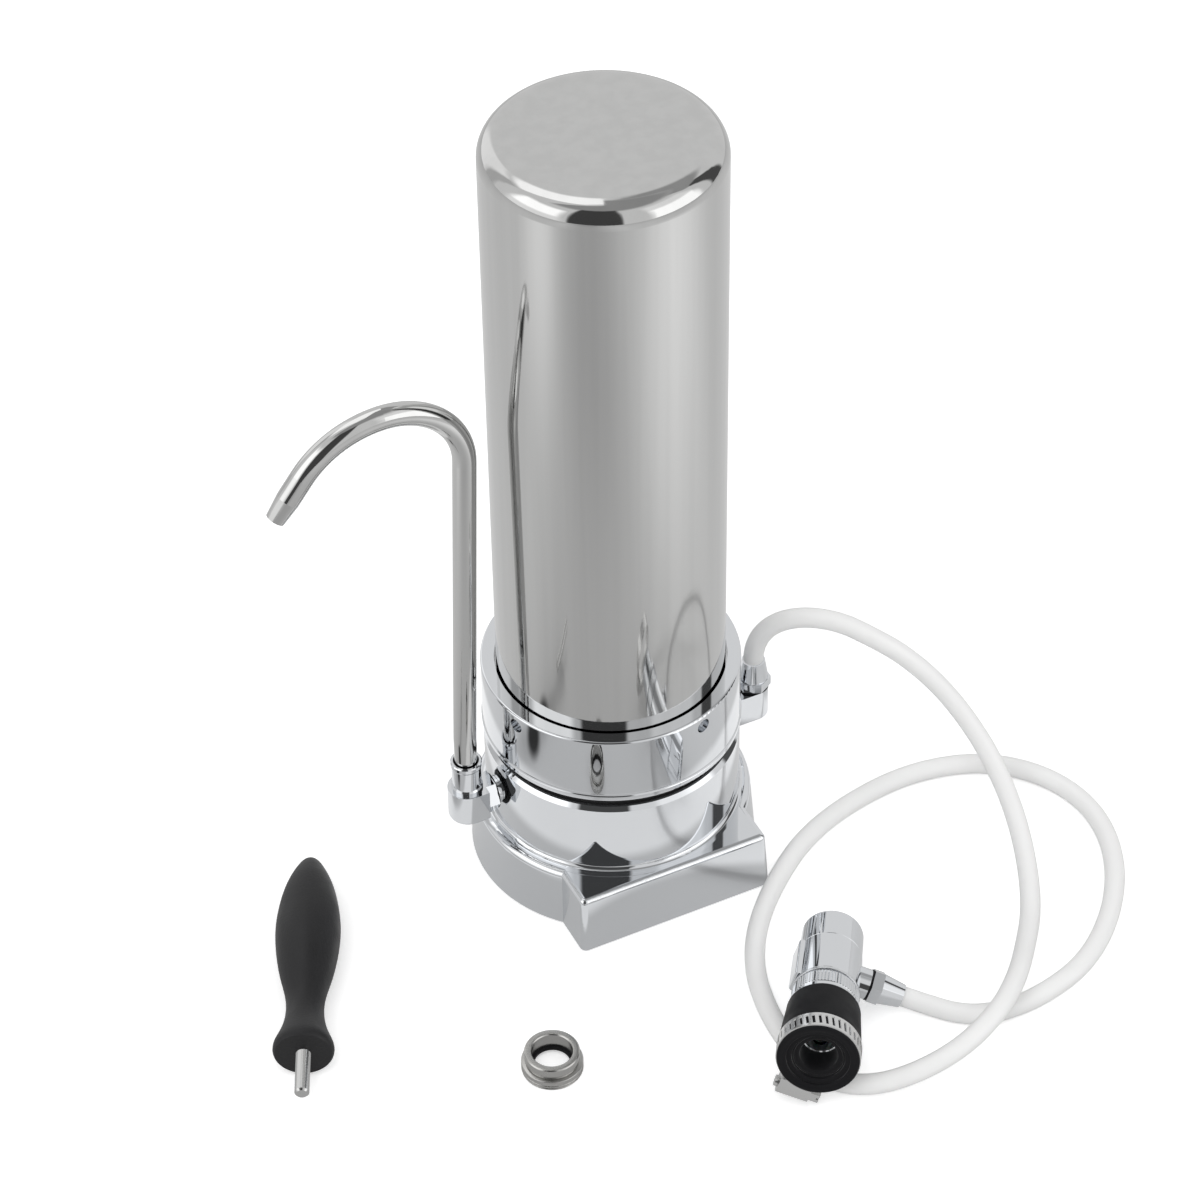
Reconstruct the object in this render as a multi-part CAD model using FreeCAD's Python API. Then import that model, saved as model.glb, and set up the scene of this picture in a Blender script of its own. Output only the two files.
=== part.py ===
import FreeCAD, Part
import math
import os

# Countertop water filter: a chrome base with a screwed-down steel cup, a swinging spout,
# and a hose to a tap diverter, with its pin wrench and thread adapter beside it.
# Millimetres. The origin is on the filter axis at the surface it stands on, +Z up,
# the flat front of the base faces -Y, the spout is on -X and the hose on +X.

# Fits
RUN = 0.06           # radial play of a turning or sliding fit
GAP = 0.3            # play between pieces of different bodies that only pass each other
LOOSE = 0.2          # radial play of a screw in a clearance hole

# Cup and lock ring
CUP_R = 49.5
CUP_WALL = 1.2
CUP_TOP = 381.0
CUP_CROWN = 9.5          # rounding at the top of the cup
CUP_FLANGE_W = 2.4       # turned-out rim under the lock ring
NECK_STEP = 2.7
NECK_R = CUP_R + NECK_STEP    # threaded neck that the lock ring screws onto
RING_WALL = 4.1
RING_R = NECK_R + RING_WALL
RING_EDGE = 1.0          # rounding of its upper edge
RING_FOOT_STEP = 0.4     # low band round its foot, this much prouder than the wall
RING_FOOT_H = 2.4
RING_FOOT_COVE = 1.6
RING_FOOT_EDGE = 0.6
RING_MOUTH_GAP = 0.8     # dark line between the ring and the cup
PIN_HOLE_R = 3.3
PIN_HOLE_DEPTH = 5.0
PIN_HOLE_DROP = 5.6      # pin holes below the top of the ring
PIN_HOLE_COUNT = 4
PIN_HOLE_START = -72.0   # degrees from +X

# Base shell
FOOT_STAND = 0.8         # the rubber pad lifts the shell this far
DRUM_STEP = 3.8
DRUM_R = NECK_R + DRUM_STEP
DRUM_BEVEL = 1.7         # bevel round its top
DRUM_WALL = 2.7
BEAD_STEP = 1.6
BEAD_R = DRUM_R + BEAD_STEP   # step where the drum meets the deck
BEAD_H = 1.6
COVE_H = 2.4
BASE_STEP = 7.2
BASE_R = DRUM_R + BASE_STEP   # round part of the base at its lower edge
BASE_TOP = 29.0          # deck of the base
BASE_DRAFT = 4.5         # degrees that the round wall and the front lean in
SIDE_DRAFT = 2.2         # degrees that the two sides of the block lean in
BASE_WALL = 2.8
BASE_LIP = 3.2           # rounding between the walls and the deck
BLOCK_NARROWER = 17.2
BLOCK_PROUD = 0.2
BLOCK_HALF = BASE_R - BLOCK_NARROWER    # half width of the flat-fronted block
BLOCK_FRONT = BASE_R + BLOCK_PROUD      # distance of its front face from the axis
BLOCK_CORNER = 2.8       # rounding of its upright edges
BLOCK_LIP = 2.5          # rounding between its walls and the deck
DISC_ENDS = 0.8          # the round wall ends at this part of the block's front
DRUM_H = 38.2
DRUM_TOP = BASE_TOP + DRUM_H
SHELF_T = 7.8
SHELF_TOP = BASE_TOP - BASE_WALL + SHELF_T    # shelf that the head stands on
SHELF_W = 12.0
SHELF_R = DRUM_R - SHELF_W    # opening in the shelf
PAD_PROUD = 1.6          # the port flats stand out from the drum by this much
PAD_HALF = 15.0          # half their width
PAD_EDGE = 0.6           # rounding of their upright edges
PAD_RUN_IN = 0.05        # their ends dip this far into the drum

# Bottom plate, rubber pad and screws
PLATE_T = 3.0
PLATE_Z = 2.6            # underside of the plate
PAD_INSET = 17.2
PAD_R = BASE_R - PAD_INSET    # rubber pad that the filter stands on
POST_INSET_X = 26.0
POST_INSET_Y = 12.4
POST_X = BLOCK_HALF - POST_INSET_X
POST_Y = BLOCK_FRONT - POST_INSET_Y
POST_PLACES = ((-POST_X, -POST_Y), (POST_X, -POST_Y), (-POST_X, POST_Y), (POST_X, POST_Y))
POST_R = 4.0
PLATE_SCREW_R = 1.5
PLATE_SCREW_HEAD_R = 3.0
PLATE_SCREW_HEAD_H = 1.6
PLATE_SCREW_L = 14.0
HEAD_SCREW_R = 2.0
HEAD_SCREW_HEAD_R = 3.6
HEAD_SCREW_HEAD_H = 2.4
HEAD_SCREW_L = 18.0
HEAD_SCREW_INSET = 7.5
HEAD_SCREW_CIRCLE = DRUM_R - HEAD_SCREW_INSET
HEAD_SCREW_COUNT = 4

# Filter head
NECK_H = 21.4
HEAD_RIM_W = 4.0
HEAD_TOP = DRUM_TOP + NECK_H
HEAD_POCKET_R = SHELF_R - HEAD_RIM_W
HEAD_POCKET_H = 7.0
SEAL_OUT = 0.1
SEAL_GROOVE_R = CUP_R + SEAL_OUT    # middle of the cup seal
SEAL_D = 3.0
SEAL_GROOVE_DEPTH = 2.4
SPIGOT_R = 12.0          # outlet spigot that the cartridge plugs onto
SPIGOT_H = 18.0
SPIGOT_BORE_R = 5.0
SPIGOT_RING_D = 2.4
SPIGOT_RING_AT = (6.0, 11.0)
CHANNEL_R = 3.6
RING_GAP = 5.6           # between the drum and the lock ring
RING_ABOVE = 18.4
RING_BOTTOM = DRUM_TOP + RING_GAP
RING_TOP = HEAD_TOP + RING_ABOVE

# Cartridge
CART_PLAY = 16.5         # between the cartridge and the cup
CART_R = CUP_R - CART_PLAY
CART_L = 250.0
CART_CORE_R = 12.5       # hole through the carbon block
CAGE_T = 1.2             # perforated centre tube
WRAP_T = 1.0             # outer fleece
CAP_H = 9.0
CAP_SKIRT = 5.0
CAP_T = 1.6
GASKET_H = 2.0
GASKET_INSET = 9.0
GASKET_R = CART_R - GASKET_INSET
CART_STAND = 0.3         # gasket above the head at rest
FEED_OUT = 7.0
FEED_X = GASKET_R + FEED_OUT  # where the inlet channel comes up outside the gasket

# Ports on both sides
PORT_DROP = 17.8
PORT_Z = DRUM_TOP - PORT_DROP
STUB_R = 6.0
STUB_IN = 14.0
STUB_END = DRUM_R - STUB_IN   # inner end of the stub, from the filter axis
STUB_BORE_R = 3.4
PORT_HEX = 16.0          # across flats
PORT_WASHER_T = 1.0
PORT_WASHER_OUT = 0.6    # it reaches this far past the flats of the hexagon
PORT_NUT_T = 4.6
PAD_FACE = DRUM_R + PAD_PROUD
IN_ELBOW_FACE = PAD_FACE + PORT_WASHER_T     # end faces of the elbows, from the filter axis
OUT_ELBOW_FACE = IN_ELBOW_FACE + PORT_NUT_T
ELBOW_REACH = 6.8
PORT_X = OUT_ELBOW_FACE + ELBOW_REACH    # upright axis of both elbows
ELBOW_H = 16.2
ELBOW_EDGE = 1.2
OUT_ELBOW_R = 8.6
IN_ELBOW_R = 6.9
NIPPLE_H = 5.6

# Spout
SPOUT_R = 5.0
SPOUT_WALL = 0.8
SPOUT_FOOT_UP = 3.6
SPOUT_KNEE_UP = 36.6
SPOUT_FOOT = PORT_Z + SPOUT_FOOT_UP    # lower end of the tube, in its socket
SPOUT_KNEE = PORT_Z + SPOUT_KNEE_UP    # above this height it leans in
SPOUT_LEAN = 2.1         # degrees
SPOUT_KNEE_R = 60.0
SPOUT_RISE = 240.0       # where the crook begins
CROOK_R = 35.0
CROOK_OUT_R = 44.0       # wider second half of the crook
CROOK_END = 53.0         # degrees below level where it runs out straight
SPOUT_RUN = 11.0         # straight length before the tip
TIP_L = 10.0
TIP_R = 4.1
SPOUT_NUT_R = 6.9
SPOUT_NUT_WAIST = 6.45
SPOUT_NUT_H = 15.6
SPOUT_NUT_LIP = 2.2
SPOUT_NUT_WALL = 0.8
FERRULE_H = 2.6
SEAL_DROP = 0.8          # spout seal below the mouth of the nut

# Hose nuts, on the inlet elbow and on the diverter
HOSE_NUT_HEX = 13.6      # across flats
HOSE_NUT_HEX_H = 4.6
HOSE_NUT_H = 14.5
HOSE_NUT_RIM_R = 5.1
HOSE_NUT_BASE_R = 6.7
HOSE_NIPPLE_R = 4.0
HOSE_NIPPLE_H = 7.6
HOSE_WASHER_T = 1.0
OLIVE_H = 1.6
OLIVE_LIP = 0.6          # olive reaches this far inside the hose's bore

# Hose
HOSE_R = 4.5
HOSE_BORE_R = 3.0
HOSE_RUN_OUT = 7.0       # straight out of the nut on the inlet
HOSE_RUN_IN = 10.9       # and straight into the one on the diverter
# Corner points of the hose between its two ends; the first ones move with the inlet
HOSE_ROUTE = ((PORT_X + 3.6, -2.5, PORT_Z + 41.4), (PORT_X + 10.1, -7.1, PORT_Z + 48.7),
              (PORT_X + 20.1, -13.2, PORT_Z + 51.4), (PORT_X + 32.2, -19.9, PORT_Z + 48.6),
              (112.0, -25.2, 91.3), (126.0, -33.2, 80.5), (139.0, -43.5, 65.5), (148.0, -56.0, 50.0),
              (152.5, -73.0, 36.0), (151.5, -94.0, 24.0), (146.0, -115.0, 14.0), (136.0, -136.0, 9.0),
              (121.0, -156.0, 13.5), (104.0, -177.0, 22.0), (87.5, -190.5, 23.0), (66.0, -198.5, 19.0),
              (45.0, -197.3, 12.0), (26.5, -190.8, 6.0), (11.0, -178.0, 4.6), (6.8, -155.5, 4.6),
              (8.0, -131.0, 4.6), (14.0, -108.0, 4.6), (27.0, -86.5, 4.6), (47.0, -66.5, 4.6),
              (71.5, -48.5, 4.6), (101.5, -38.0, 4.6), (135.0, -34.5, 4.6), (166.0, -43.0, 4.6),
              (187.0, -64.0, 4.6), (195.0, -92.0, 4.6), (188.0, -122.0, 4.6), (169.0, -150.0, 4.6),
              (144.0, -170.0, 4.6), (117.0, -178.0, 4.6), (95.0, -178.0, 4.6), (80.5, -172.0, 4.6))

# Diverter: its own frame has Z along its axis from the tap end to the outlet end,
# X along the hose port and Y towards the clamp screw
DIV_FRONT = (3.0, -185.4, 29.0)   # middle of the mouth of the rubber sleeve
DIV_HEADING = 57.0       # degrees from +X
DIV_TILT = 10.2          # degrees that the outlet end points down
DIV_ROLL = 18.0          # degrees that the hose port points down
SLEEVE_R = 17.4          # rubber tap sleeve at its mouth
SLEEVE_BACK_R = 15.8
SLEEVE_L = 33.0
SLEEVE_HOLE_R = 8.0
SLEEVE_STEP_R = 13.4
SLEEVE_STEP_DEPTH = 1.4
SLEEVE_EDGE = 2.2
BAND_T = 0.7
BAND_SINK = 0.3          # how far the band bites into the rubber
BAND_W = 8.0
BAND_AT = 1.4            # band behind the mouth of the sleeve
HOUSING_FROM = -10.5     # ends of the screw housing, along the hose port direction
HOUSING_TO = 3.5
HOUSING_H = 6.6
CLAMP_SCREW_R = 2.4
CLAMP_SCREW_HEX = 6.6
CLAMP_SCREW_HEAD_H = 4.2
NOSE_R = 11.4            # tap connector inside the rubber sleeve
NOSE_L = 17.0
NOSE_BORE_R = 7.6
CONNECTOR_NECK_R = 9.6
CONNECTOR_FLANGE_R = 11.8
COLLAR_R = 14.6
COLLAR_T = 2.6
KNURL_R = 14.4
KNURL_L = 9.6
SPIGOT_THREAD_R = 12.3   # thread that the knurled ring screws onto
SWIVEL_WASHER_T = 1.8
KNURL_LIP = 1.2
BODY_R = 13.9
BODY_L = 24.0
BODY_BORE_R = 9.0
RIB_OUT = 1.5            # cast rib on the side away from the hose
RIB_W = 10.0
PORT_AT = 15.2           # hose port from the tap end of the body
BOSS_R = 6.6
BOSS_END = 17.8          # outer face of the boss, from the diverter axis
OUTLET_R = 13.7          # sleeve that is turned to choose between tap and filter
OUTLET_L = 18.0
OUTLET_BORE_R = 11.2
OUTLET_EDGE = 2.6
TAIL_R = 11.2            # tail of the body inside the outlet sleeve
TAIL_L = 3.4
WEB_GAP = 0.3
WEB_T = 2.0
WEB_HOLE_R = 1.6
WEB_HOLE_CIRCLE = 6.6
AERATOR_OUT = 0.6        # aerator stands out of the sleeve
CORE_L = 20.0
CORE_STEM_R = 4.0
CORE_BORE_R = 6.0
AERATOR_L = 7.0
SCREEN_T = 0.8
SCREEN_HOLE_R = 1.1
SCREEN_PITCH = 2.9

# Pin wrench, lying beside the filter
WRENCH_AT = (-181.5, -73.3)   # middle of the end face of the grip
WRENCH_HEADING = 65.1
# distance along the grip and its radius there
GRIP = ((0.0, 12.2), (1.2, 12.9), (3.5, 13.0), (7.0, 11.9), (12.0, 10.1), (18.0, 8.7), (25.0, 8.15),
        (33.0, 8.9), (42.0, 10.9), (52.0, 12.75), (62.0, 13.85), (72.0, 14.1), (82.0, 13.2),
        (92.0, 11.4), (102.0, 8.3), (108.0, 5.6), (112.0, 2.8), (113.5, 0.0))
PIN_R = 3.15
PIN_OUT = 22.0
PIN_IN = 24.0
PIN_TIP = 0.8

# Thread adapter, standing beside the filter
ADAPTER_AT = (-86.2, -116.0)
ADAPTER_H = 10.9
ADAPTER_BORE_R = 8.7
ADAPTER_TOP_R = 11.85
ADAPTER_FLANGE_R = 13.2
ADAPTER_FLANGE_H = 5.2
ADAPTER_SOCKET_R = 10.9
ADAPTER_SOCKET_H = 4.0
ADAPTER_WASHER_T = 2.0
ADAPTER_WASHER_BORE_R = 7.6

V = FreeCAD.Vector
UP = V(0, 0, 1)


def tilt(angle):
    return math.tan(math.radians(angle))


def cylinder(radius, bottom, top, x=0.0, y=0.0):
    return Part.makeCylinder(radius, top - bottom, V(x, y, bottom))


def tube(outer, inner, bottom, top, x=0.0, y=0.0):
    return cylinder(outer, bottom, top, x, y).cut(cylinder(inner, bottom - 1, top + 1, x, y))


def bar(radius, start, end):
    way = V(*end) - V(*start)
    return Part.makeCylinder(radius, way.Length, V(*start), way)


def hexagon(flats, bottom, top, x=0.0, y=0.0):
    reach = flats / math.sqrt(3)
    corners = [V(x + reach * math.cos(math.radians(60 * n + 30)),
                 y + reach * math.sin(math.radians(60 * n + 30)), bottom) for n in range(7)]
    return Part.Face(Part.makePolygon(corners)).extrude(V(0, 0, top - bottom))


def ring_torus(middle, thick, height):
    return Part.makeTorus(middle, thick / 2, V(0, 0, height))


def turned(*outline):
    """A solid of revolution about Z; each point is (radius, height), and a point of four
    numbers is the middle of an arc followed by its end."""
    edges = []
    here = V(outline[0][0], 0, outline[0][1])
    first = here
    for point in outline[1:]:
        end = V(point[-2], 0, point[-1])
        if len(point) == 4:
            edges.append(Part.Arc(here, V(point[0], 0, point[1]), end).toShape())
        else:
            edges.append(Part.LineSegment(here, end).toShape())
        here = end
    edges.append(Part.LineSegment(here, first).toShape())
    return Part.Face(Part.Wire(edges)).revolve(V(0, 0, 0), UP, 360)


def joined(*shapes):
    whole = shapes[0]
    for shape in shapes[1:]:
        whole = whole.fuse(shape)
    return whole.removeSplitter()


# Base

def base_wall_r(height):
    return BASE_R - (height - FOOT_STAND) * tilt(BASE_DRAFT)


def base_disc(inset, bottom, top, lip):
    """The round part of the base, drafted, with its upper edge rounded by lip. It ends
    inside the block, whose flat front takes over there."""
    low = base_wall_r(bottom) - inset
    start = base_wall_r(top - lip) - inset
    outline = [(0, bottom), (low, bottom), (start, top - lip)]
    if lip > 0:
        root = lip * (1 - math.sqrt(0.5))
        outline.append((start - root, top - root, start - lip, top))
    outline.append((0, top))
    wide = 2 * BASE_R
    front = Part.makeBox(2 * wide, wide, wide, V(-wide, -wide - DISC_ENDS * BLOCK_FRONT, bottom - 1))
    return turned(*outline).cut(front)


def block_outline(inset, height):
    rise = height - FOOT_STAND
    half = BLOCK_HALF - rise * tilt(SIDE_DRAFT) - inset
    front = rise * tilt(BASE_DRAFT) + inset - BLOCK_FRONT
    return Part.makePolygon([V(-half, front, height), V(half, front, height),
                             V(half, 0, height), V(-half, 0, height), V(-half, front, height)])


def base_block(inset, bottom, top, lip):
    """The flat-fronted block, drafted like the disc, which it joins on the filter axis."""
    block = Part.makeLoft([block_outline(inset, bottom), block_outline(inset, top)], True, True)
    if lip == 0:
        return block
    upright = [e for e in block.Edges
               if abs(e.Vertexes[0].Z - e.Vertexes[1].Z) > 1 and e.CenterOfMass.y < -1]
    block = block.makeFillet(BLOCK_CORNER, upright)
    rim = [e for e in block.Edges if e.BoundBox.ZMin > top - 0.01 and e.CenterOfMass.y < -1]
    return block.makeFillet(lip, rim)


def drum():
    foot = BASE_TOP + BEAD_H
    cove_top = foot + COVE_H
    step = BEAD_R - DRUM_R
    return turned((0, BASE_TOP - 1), (BEAD_R, BASE_TOP - 1), (BEAD_R, foot),
                  (DRUM_R + step * 0.3, foot + COVE_H * 0.3, DRUM_R, cove_top),
                  (DRUM_R, DRUM_TOP - DRUM_BEVEL), (DRUM_R - DRUM_BEVEL, DRUM_TOP), (0, DRUM_TOP))


def pad_plan(grow):
    """Plan of the drum's two port flats, whose ends run out along the drum."""
    face, half, run = PAD_FACE + grow, PAD_HALF + grow, DRUM_R + grow - PAD_RUN_IN
    turn = math.atan2(half, face) + math.acos(run / math.hypot(face, half))
    x, y = run * math.cos(turn), run * math.sin(turn)
    return ((face, -half), (face, half), (x, y), (-x, y), (-face, half), (-face, -half), (-x, -y), (x, -y))


def port_pads(grow, low, top, bevel):
    """Both port flats as one slab through the drum, with a bevel round its top."""
    points = [V(x, y, low) for x, y in pad_plan(grow)]
    slab = Part.Face(Part.makePolygon(points + points[:1])).extrude(V(0, 0, top - low))
    corners = [e for e in slab.Edges if e.BoundBox.ZLength > 1 and abs(e.CenterOfMass.x) > DRUM_R]
    slab = slab.makeFillet(PAD_EDGE, corners)
    return slab.makeChamfer(bevel, [e for e in slab.Edges if e.BoundBox.ZMin > top - 0.01])


def post_posts(radius, bottom, top):
    return [cylinder(radius, bottom, top, x, y) for x, y in POST_PLACES]


def head_screw_places():
    for n in range(HEAD_SCREW_COUNT):
        angle = math.radians(45 + 360 * n / HEAD_SCREW_COUNT)
        yield HEAD_SCREW_CIRCLE * math.cos(angle), HEAD_SCREW_CIRCLE * math.sin(angle)


def base_shell():
    deck_under = BASE_TOP - BASE_WALL
    shell = joined(base_disc(0, FOOT_STAND, BASE_TOP, BASE_LIP),
                   base_block(0, FOOT_STAND, BASE_TOP, BLOCK_LIP), drum(),
                   port_pads(0, BASE_TOP - 1, DRUM_TOP, DRUM_BEVEL),
                   port_pads(BEAD_STEP, BASE_TOP - 1, BASE_TOP + BEAD_H + COVE_H / 2, BEAD_STEP - 0.2))
    below = FOOT_STAND - 1
    hollow = base_disc(BASE_WALL, below, deck_under, 0)
    hollow = hollow.fuse(base_block(BASE_WALL, below, deck_under, 0))
    shell = shell.cut(hollow)
    shell = shell.cut(cylinder(SHELF_R, below, SHELF_TOP + 1))
    shell = shell.cut(cylinder(DRUM_R - DRUM_WALL, SHELF_TOP, DRUM_TOP + 1))
    shell = shell.fuse(post_posts(POST_R, PLATE_Z + PLATE_T, deck_under))
    screw_top = PLATE_Z + PLATE_SCREW_HEAD_H + PLATE_SCREW_L
    for hole in post_posts(PLATE_SCREW_R, below, screw_top):
        shell = shell.cut(hole)
    for x, y in head_screw_places():
        shell = shell.cut(cylinder(HEAD_SCREW_R + LOOSE, below, SHELF_TOP + 1, x, y))
    for side in (-1, 1):
        shell = shell.cut(bar(STUB_R + LOOSE, (side * SHELF_R, 0, PORT_Z), (side * (PAD_FACE + 3), 0, PORT_Z)))
    return shell.removeSplitter()


def bottom_plate():
    top = PLATE_Z + PLATE_T
    plate = base_disc(BASE_WALL + LOOSE, PLATE_Z, top, 0)
    plate = joined(plate, base_block(BASE_WALL + LOOSE, PLATE_Z, top, 0))
    for hole in post_posts(PLATE_SCREW_R + LOOSE, PLATE_Z - 1, top + 1):
        plate = plate.cut(hole)
    for seat in post_posts(PLATE_SCREW_HEAD_R + LOOSE, PLATE_Z - 1, PLATE_Z + PLATE_SCREW_HEAD_H):
        plate = plate.cut(seat)
    return plate


def rubber_pad():
    return turned((0, 0), (PAD_R - 0.5, 0), (PAD_R, 0.5), (PAD_R, PLATE_Z), (0, PLATE_Z))


def screw(x, y, seat, radius, length, head_r, head_h):
    """A screw driven upwards, whose head ends at the height seat, with a cross recess."""
    body = joined(cylinder(head_r, seat - head_h, seat, x, y),
                  cylinder(radius, seat - 0.1, seat + length, x, y))
    slot = Part.makeBox(head_r * 1.2, head_r * 0.3, head_h, V(x - head_r * 0.6, y - head_r * 0.15, seat - head_h * 1.5))
    cross = slot.fuse(slot.rotated(V(x, y, 0), UP, 90))
    return body.cut(cross)


def bottom_screws():
    seat = PLATE_Z + PLATE_SCREW_HEAD_H
    return Part.makeCompound([screw(x, y, seat, PLATE_SCREW_R, PLATE_SCREW_L, PLATE_SCREW_HEAD_R,
                                    PLATE_SCREW_HEAD_H) for x, y in POST_PLACES])


def head_screws():
    seat = BASE_TOP - BASE_WALL
    return Part.makeCompound([screw(x, y, seat, HEAD_SCREW_R, HEAD_SCREW_L, HEAD_SCREW_HEAD_R,
                                    HEAD_SCREW_HEAD_H) for x, y in head_screw_places()])


# Head, cup and lock ring

def head_fit_r():
    return DRUM_R - DRUM_WALL - LOOSE


def flange_seat():
    """Height of the underside of the cup's rim, on top of its seal."""
    return HEAD_TOP - SEAL_GROOVE_DEPTH + SEAL_D + 0.05


def filter_head():
    body = turned((0, SHELF_TOP), (head_fit_r(), SHELF_TOP), (head_fit_r(), DRUM_TOP),
                  (NECK_R, DRUM_TOP), (NECK_R, HEAD_TOP), (SPIGOT_R, HEAD_TOP),
                  (SPIGOT_R, HEAD_TOP + SPIGOT_H - 1), (SPIGOT_R - 1, HEAD_TOP + SPIGOT_H),
                  (0, HEAD_TOP + SPIGOT_H))
    half = SEAL_D / 2 + 0.05
    body = body.cut(tube(SEAL_GROOVE_R + half, SEAL_GROOVE_R - half, HEAD_TOP - SEAL_GROOVE_DEPTH,
                         HEAD_TOP + 1))
    body = body.cut(tube(HEAD_POCKET_R, SPIGOT_R, SHELF_TOP - 1, SHELF_TOP + HEAD_POCKET_H))
    for at in SPIGOT_RING_AT:
        low = HEAD_TOP + at - SPIGOT_RING_D / 2
        body = body.cut(tube(SPIGOT_R + 1, SPIGOT_R + 0.2 - SPIGOT_RING_D, low - 0.05,
                             low + SPIGOT_RING_D + 0.05))
    body = body.cut(cylinder(SPIGOT_BORE_R, PORT_Z, HEAD_TOP + SPIGOT_H + 1))
    body = body.cut(bar(CHANNEL_R, (0, 0, PORT_Z), (-STUB_END, 0, PORT_Z)))
    body = body.cut(bar(CHANNEL_R, (FEED_X - CHANNEL_R, 0, PORT_Z), (STUB_END, 0, PORT_Z)))
    body = body.cut(cylinder(CHANNEL_R, PORT_Z, HEAD_TOP + 1, FEED_X))
    for side in (-1, 1):
        body = body.cut(bar(STUB_R + RUN, (side * STUB_END, 0, PORT_Z), (side * DRUM_R, 0, PORT_Z)))
    screw_top = BASE_TOP - BASE_WALL + HEAD_SCREW_L
    for x, y in head_screw_places():
        body = body.cut(cylinder(HEAD_SCREW_R + RUN, SHELF_TOP - 1, screw_top, x, y))
    return body


def cup_seal():
    return ring_torus(SEAL_GROOVE_R, SEAL_D, HEAD_TOP - SEAL_GROOVE_DEPTH + SEAL_D / 2)


def spigot_rings():
    return Part.makeCompound([ring_torus(SPIGOT_R + 0.2 - SPIGOT_RING_D / 2, SPIGOT_RING_D, HEAD_TOP + at)
                              for at in SPIGOT_RING_AT])


def cup():
    """A deep-drawn steel cup, closed end up, with its rim turned out."""
    seat = flange_seat()
    inner = CUP_R - CUP_WALL
    turn = math.sqrt(0.5)
    crown = CUP_R - CUP_CROWN
    crown_z = CUP_TOP - CUP_CROWN
    inside = CUP_CROWN - CUP_WALL
    rim = CUP_R + CUP_FLANGE_W
    return turned((inner, seat), (rim, seat), (rim, seat + CUP_WALL), (CUP_R, seat + CUP_WALL),
                  (CUP_R, crown_z), (crown + CUP_CROWN * turn, crown_z + CUP_CROWN * turn, crown, CUP_TOP),
                  (0, CUP_TOP), (0, CUP_TOP - CUP_WALL), (crown, CUP_TOP - CUP_WALL),
                  (crown + inside * turn, crown_z + inside * turn, inner, crown_z))


def lock_ring():
    """The ring that holds the cup down: it reaches over the cup's rim and screws onto the neck."""
    mouth = CUP_R + RING_MOUTH_GAP
    thread = NECK_R + GAP
    shoulder = flange_seat() + CUP_WALL + RUN
    root = RING_EDGE * (1 - math.sqrt(0.5))
    foot_r = RING_R + RING_FOOT_STEP
    foot_root = RING_FOOT_EDGE * (1 - math.sqrt(0.5))
    foot_top = RING_BOTTOM + RING_FOOT_H
    ring = turned((thread, RING_BOTTOM), (foot_r - RING_FOOT_EDGE, RING_BOTTOM),
                  (foot_r - foot_root, RING_BOTTOM + foot_root, foot_r, RING_BOTTOM + RING_FOOT_EDGE),
                  (foot_r, foot_top),
                  (RING_R + RING_FOOT_STEP * 0.3, foot_top + RING_FOOT_COVE * 0.3,
                   RING_R, foot_top + RING_FOOT_COVE),
                  (RING_R, RING_TOP - RING_EDGE),
                  (RING_R - root, RING_TOP - root, RING_R - RING_EDGE, RING_TOP),
                  (mouth, RING_TOP), (mouth, shoulder), (thread, shoulder))
    for n in range(PIN_HOLE_COUNT):
        angle = math.radians(PIN_HOLE_START + 360 * n / PIN_HOLE_COUNT)
        out = V(math.cos(angle), math.sin(angle), 0)
        mid = V(0, 0, RING_TOP - PIN_HOLE_DROP)
        foot = out * (RING_R - PIN_HOLE_DEPTH) + mid
        ring = ring.cut(Part.makeCylinder(PIN_HOLE_R, 2 * PIN_HOLE_DEPTH, foot, out))
    return ring


# Cartridge

def cart_bottom():
    return HEAD_TOP + CART_STAND + GASKET_H


def cap_wall_r():
    return CART_R + CAP_T


def cart_cap(low, top_end):
    """One plastic end cap, cupped over the end of the carbon block."""
    skirt = tube(cap_wall_r(), CART_R, low, low + CAP_H + CAP_SKIRT)
    if top_end:
        return joined(cylinder(cap_wall_r(), low, low + CAP_H), skirt)
    plate = tube(cap_wall_r(), SPIGOT_R + RUN + 0.2, low, low + CAP_H)
    return joined(plate, skirt)


def block_low():
    return cart_bottom() + CAP_H


def block_high():
    return block_low() + CART_L - 2 * CAP_H


def cartridge_bottom_cap():
    return cart_cap(cart_bottom(), False)


def cartridge_top_cap():
    flipped = cart_cap(cart_bottom(), True)
    flipped = flipped.mirror(V(0, 0, cart_bottom() + CART_L / 2), UP)
    return flipped


def cartridge_gasket():
    return tube(GASKET_R, SPIGOT_R + 1.0, cart_bottom() - GASKET_H, cart_bottom())


def cartridge_block():
    return tube(CART_R - WRAP_T, CART_CORE_R + CAGE_T, block_low(), block_high())


def cartridge_wrap():
    return tube(CART_R - RUN, CART_R - WRAP_T + RUN, block_low(), block_high())


def cartridge_core():
    return tube(CART_CORE_R + CAGE_T, CART_CORE_R, block_low(), block_high())


# Ports

def elbow_body(radius, reach):
    """An elbow with its upright axis at the origin and its flat end towards +X."""
    low = PORT_Z - ELBOW_H / 2
    block = joined(cylinder(radius, low, low + ELBOW_H),
                   Part.makeBox(reach, 2 * radius, ELBOW_H, V(0, -radius, low)))
    block = block.cut(Part.makeBox(radius, 4 * radius, 2 * ELBOW_H, V(reach, -2 * radius, low - 1)))
    rim = [e for e in block.Edges if e.BoundBox.ZMax < low + 0.01 and e.CenterOfMass.x < reach - 0.1]
    return block.makeFillet(ELBOW_EDGE, rim)


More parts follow.
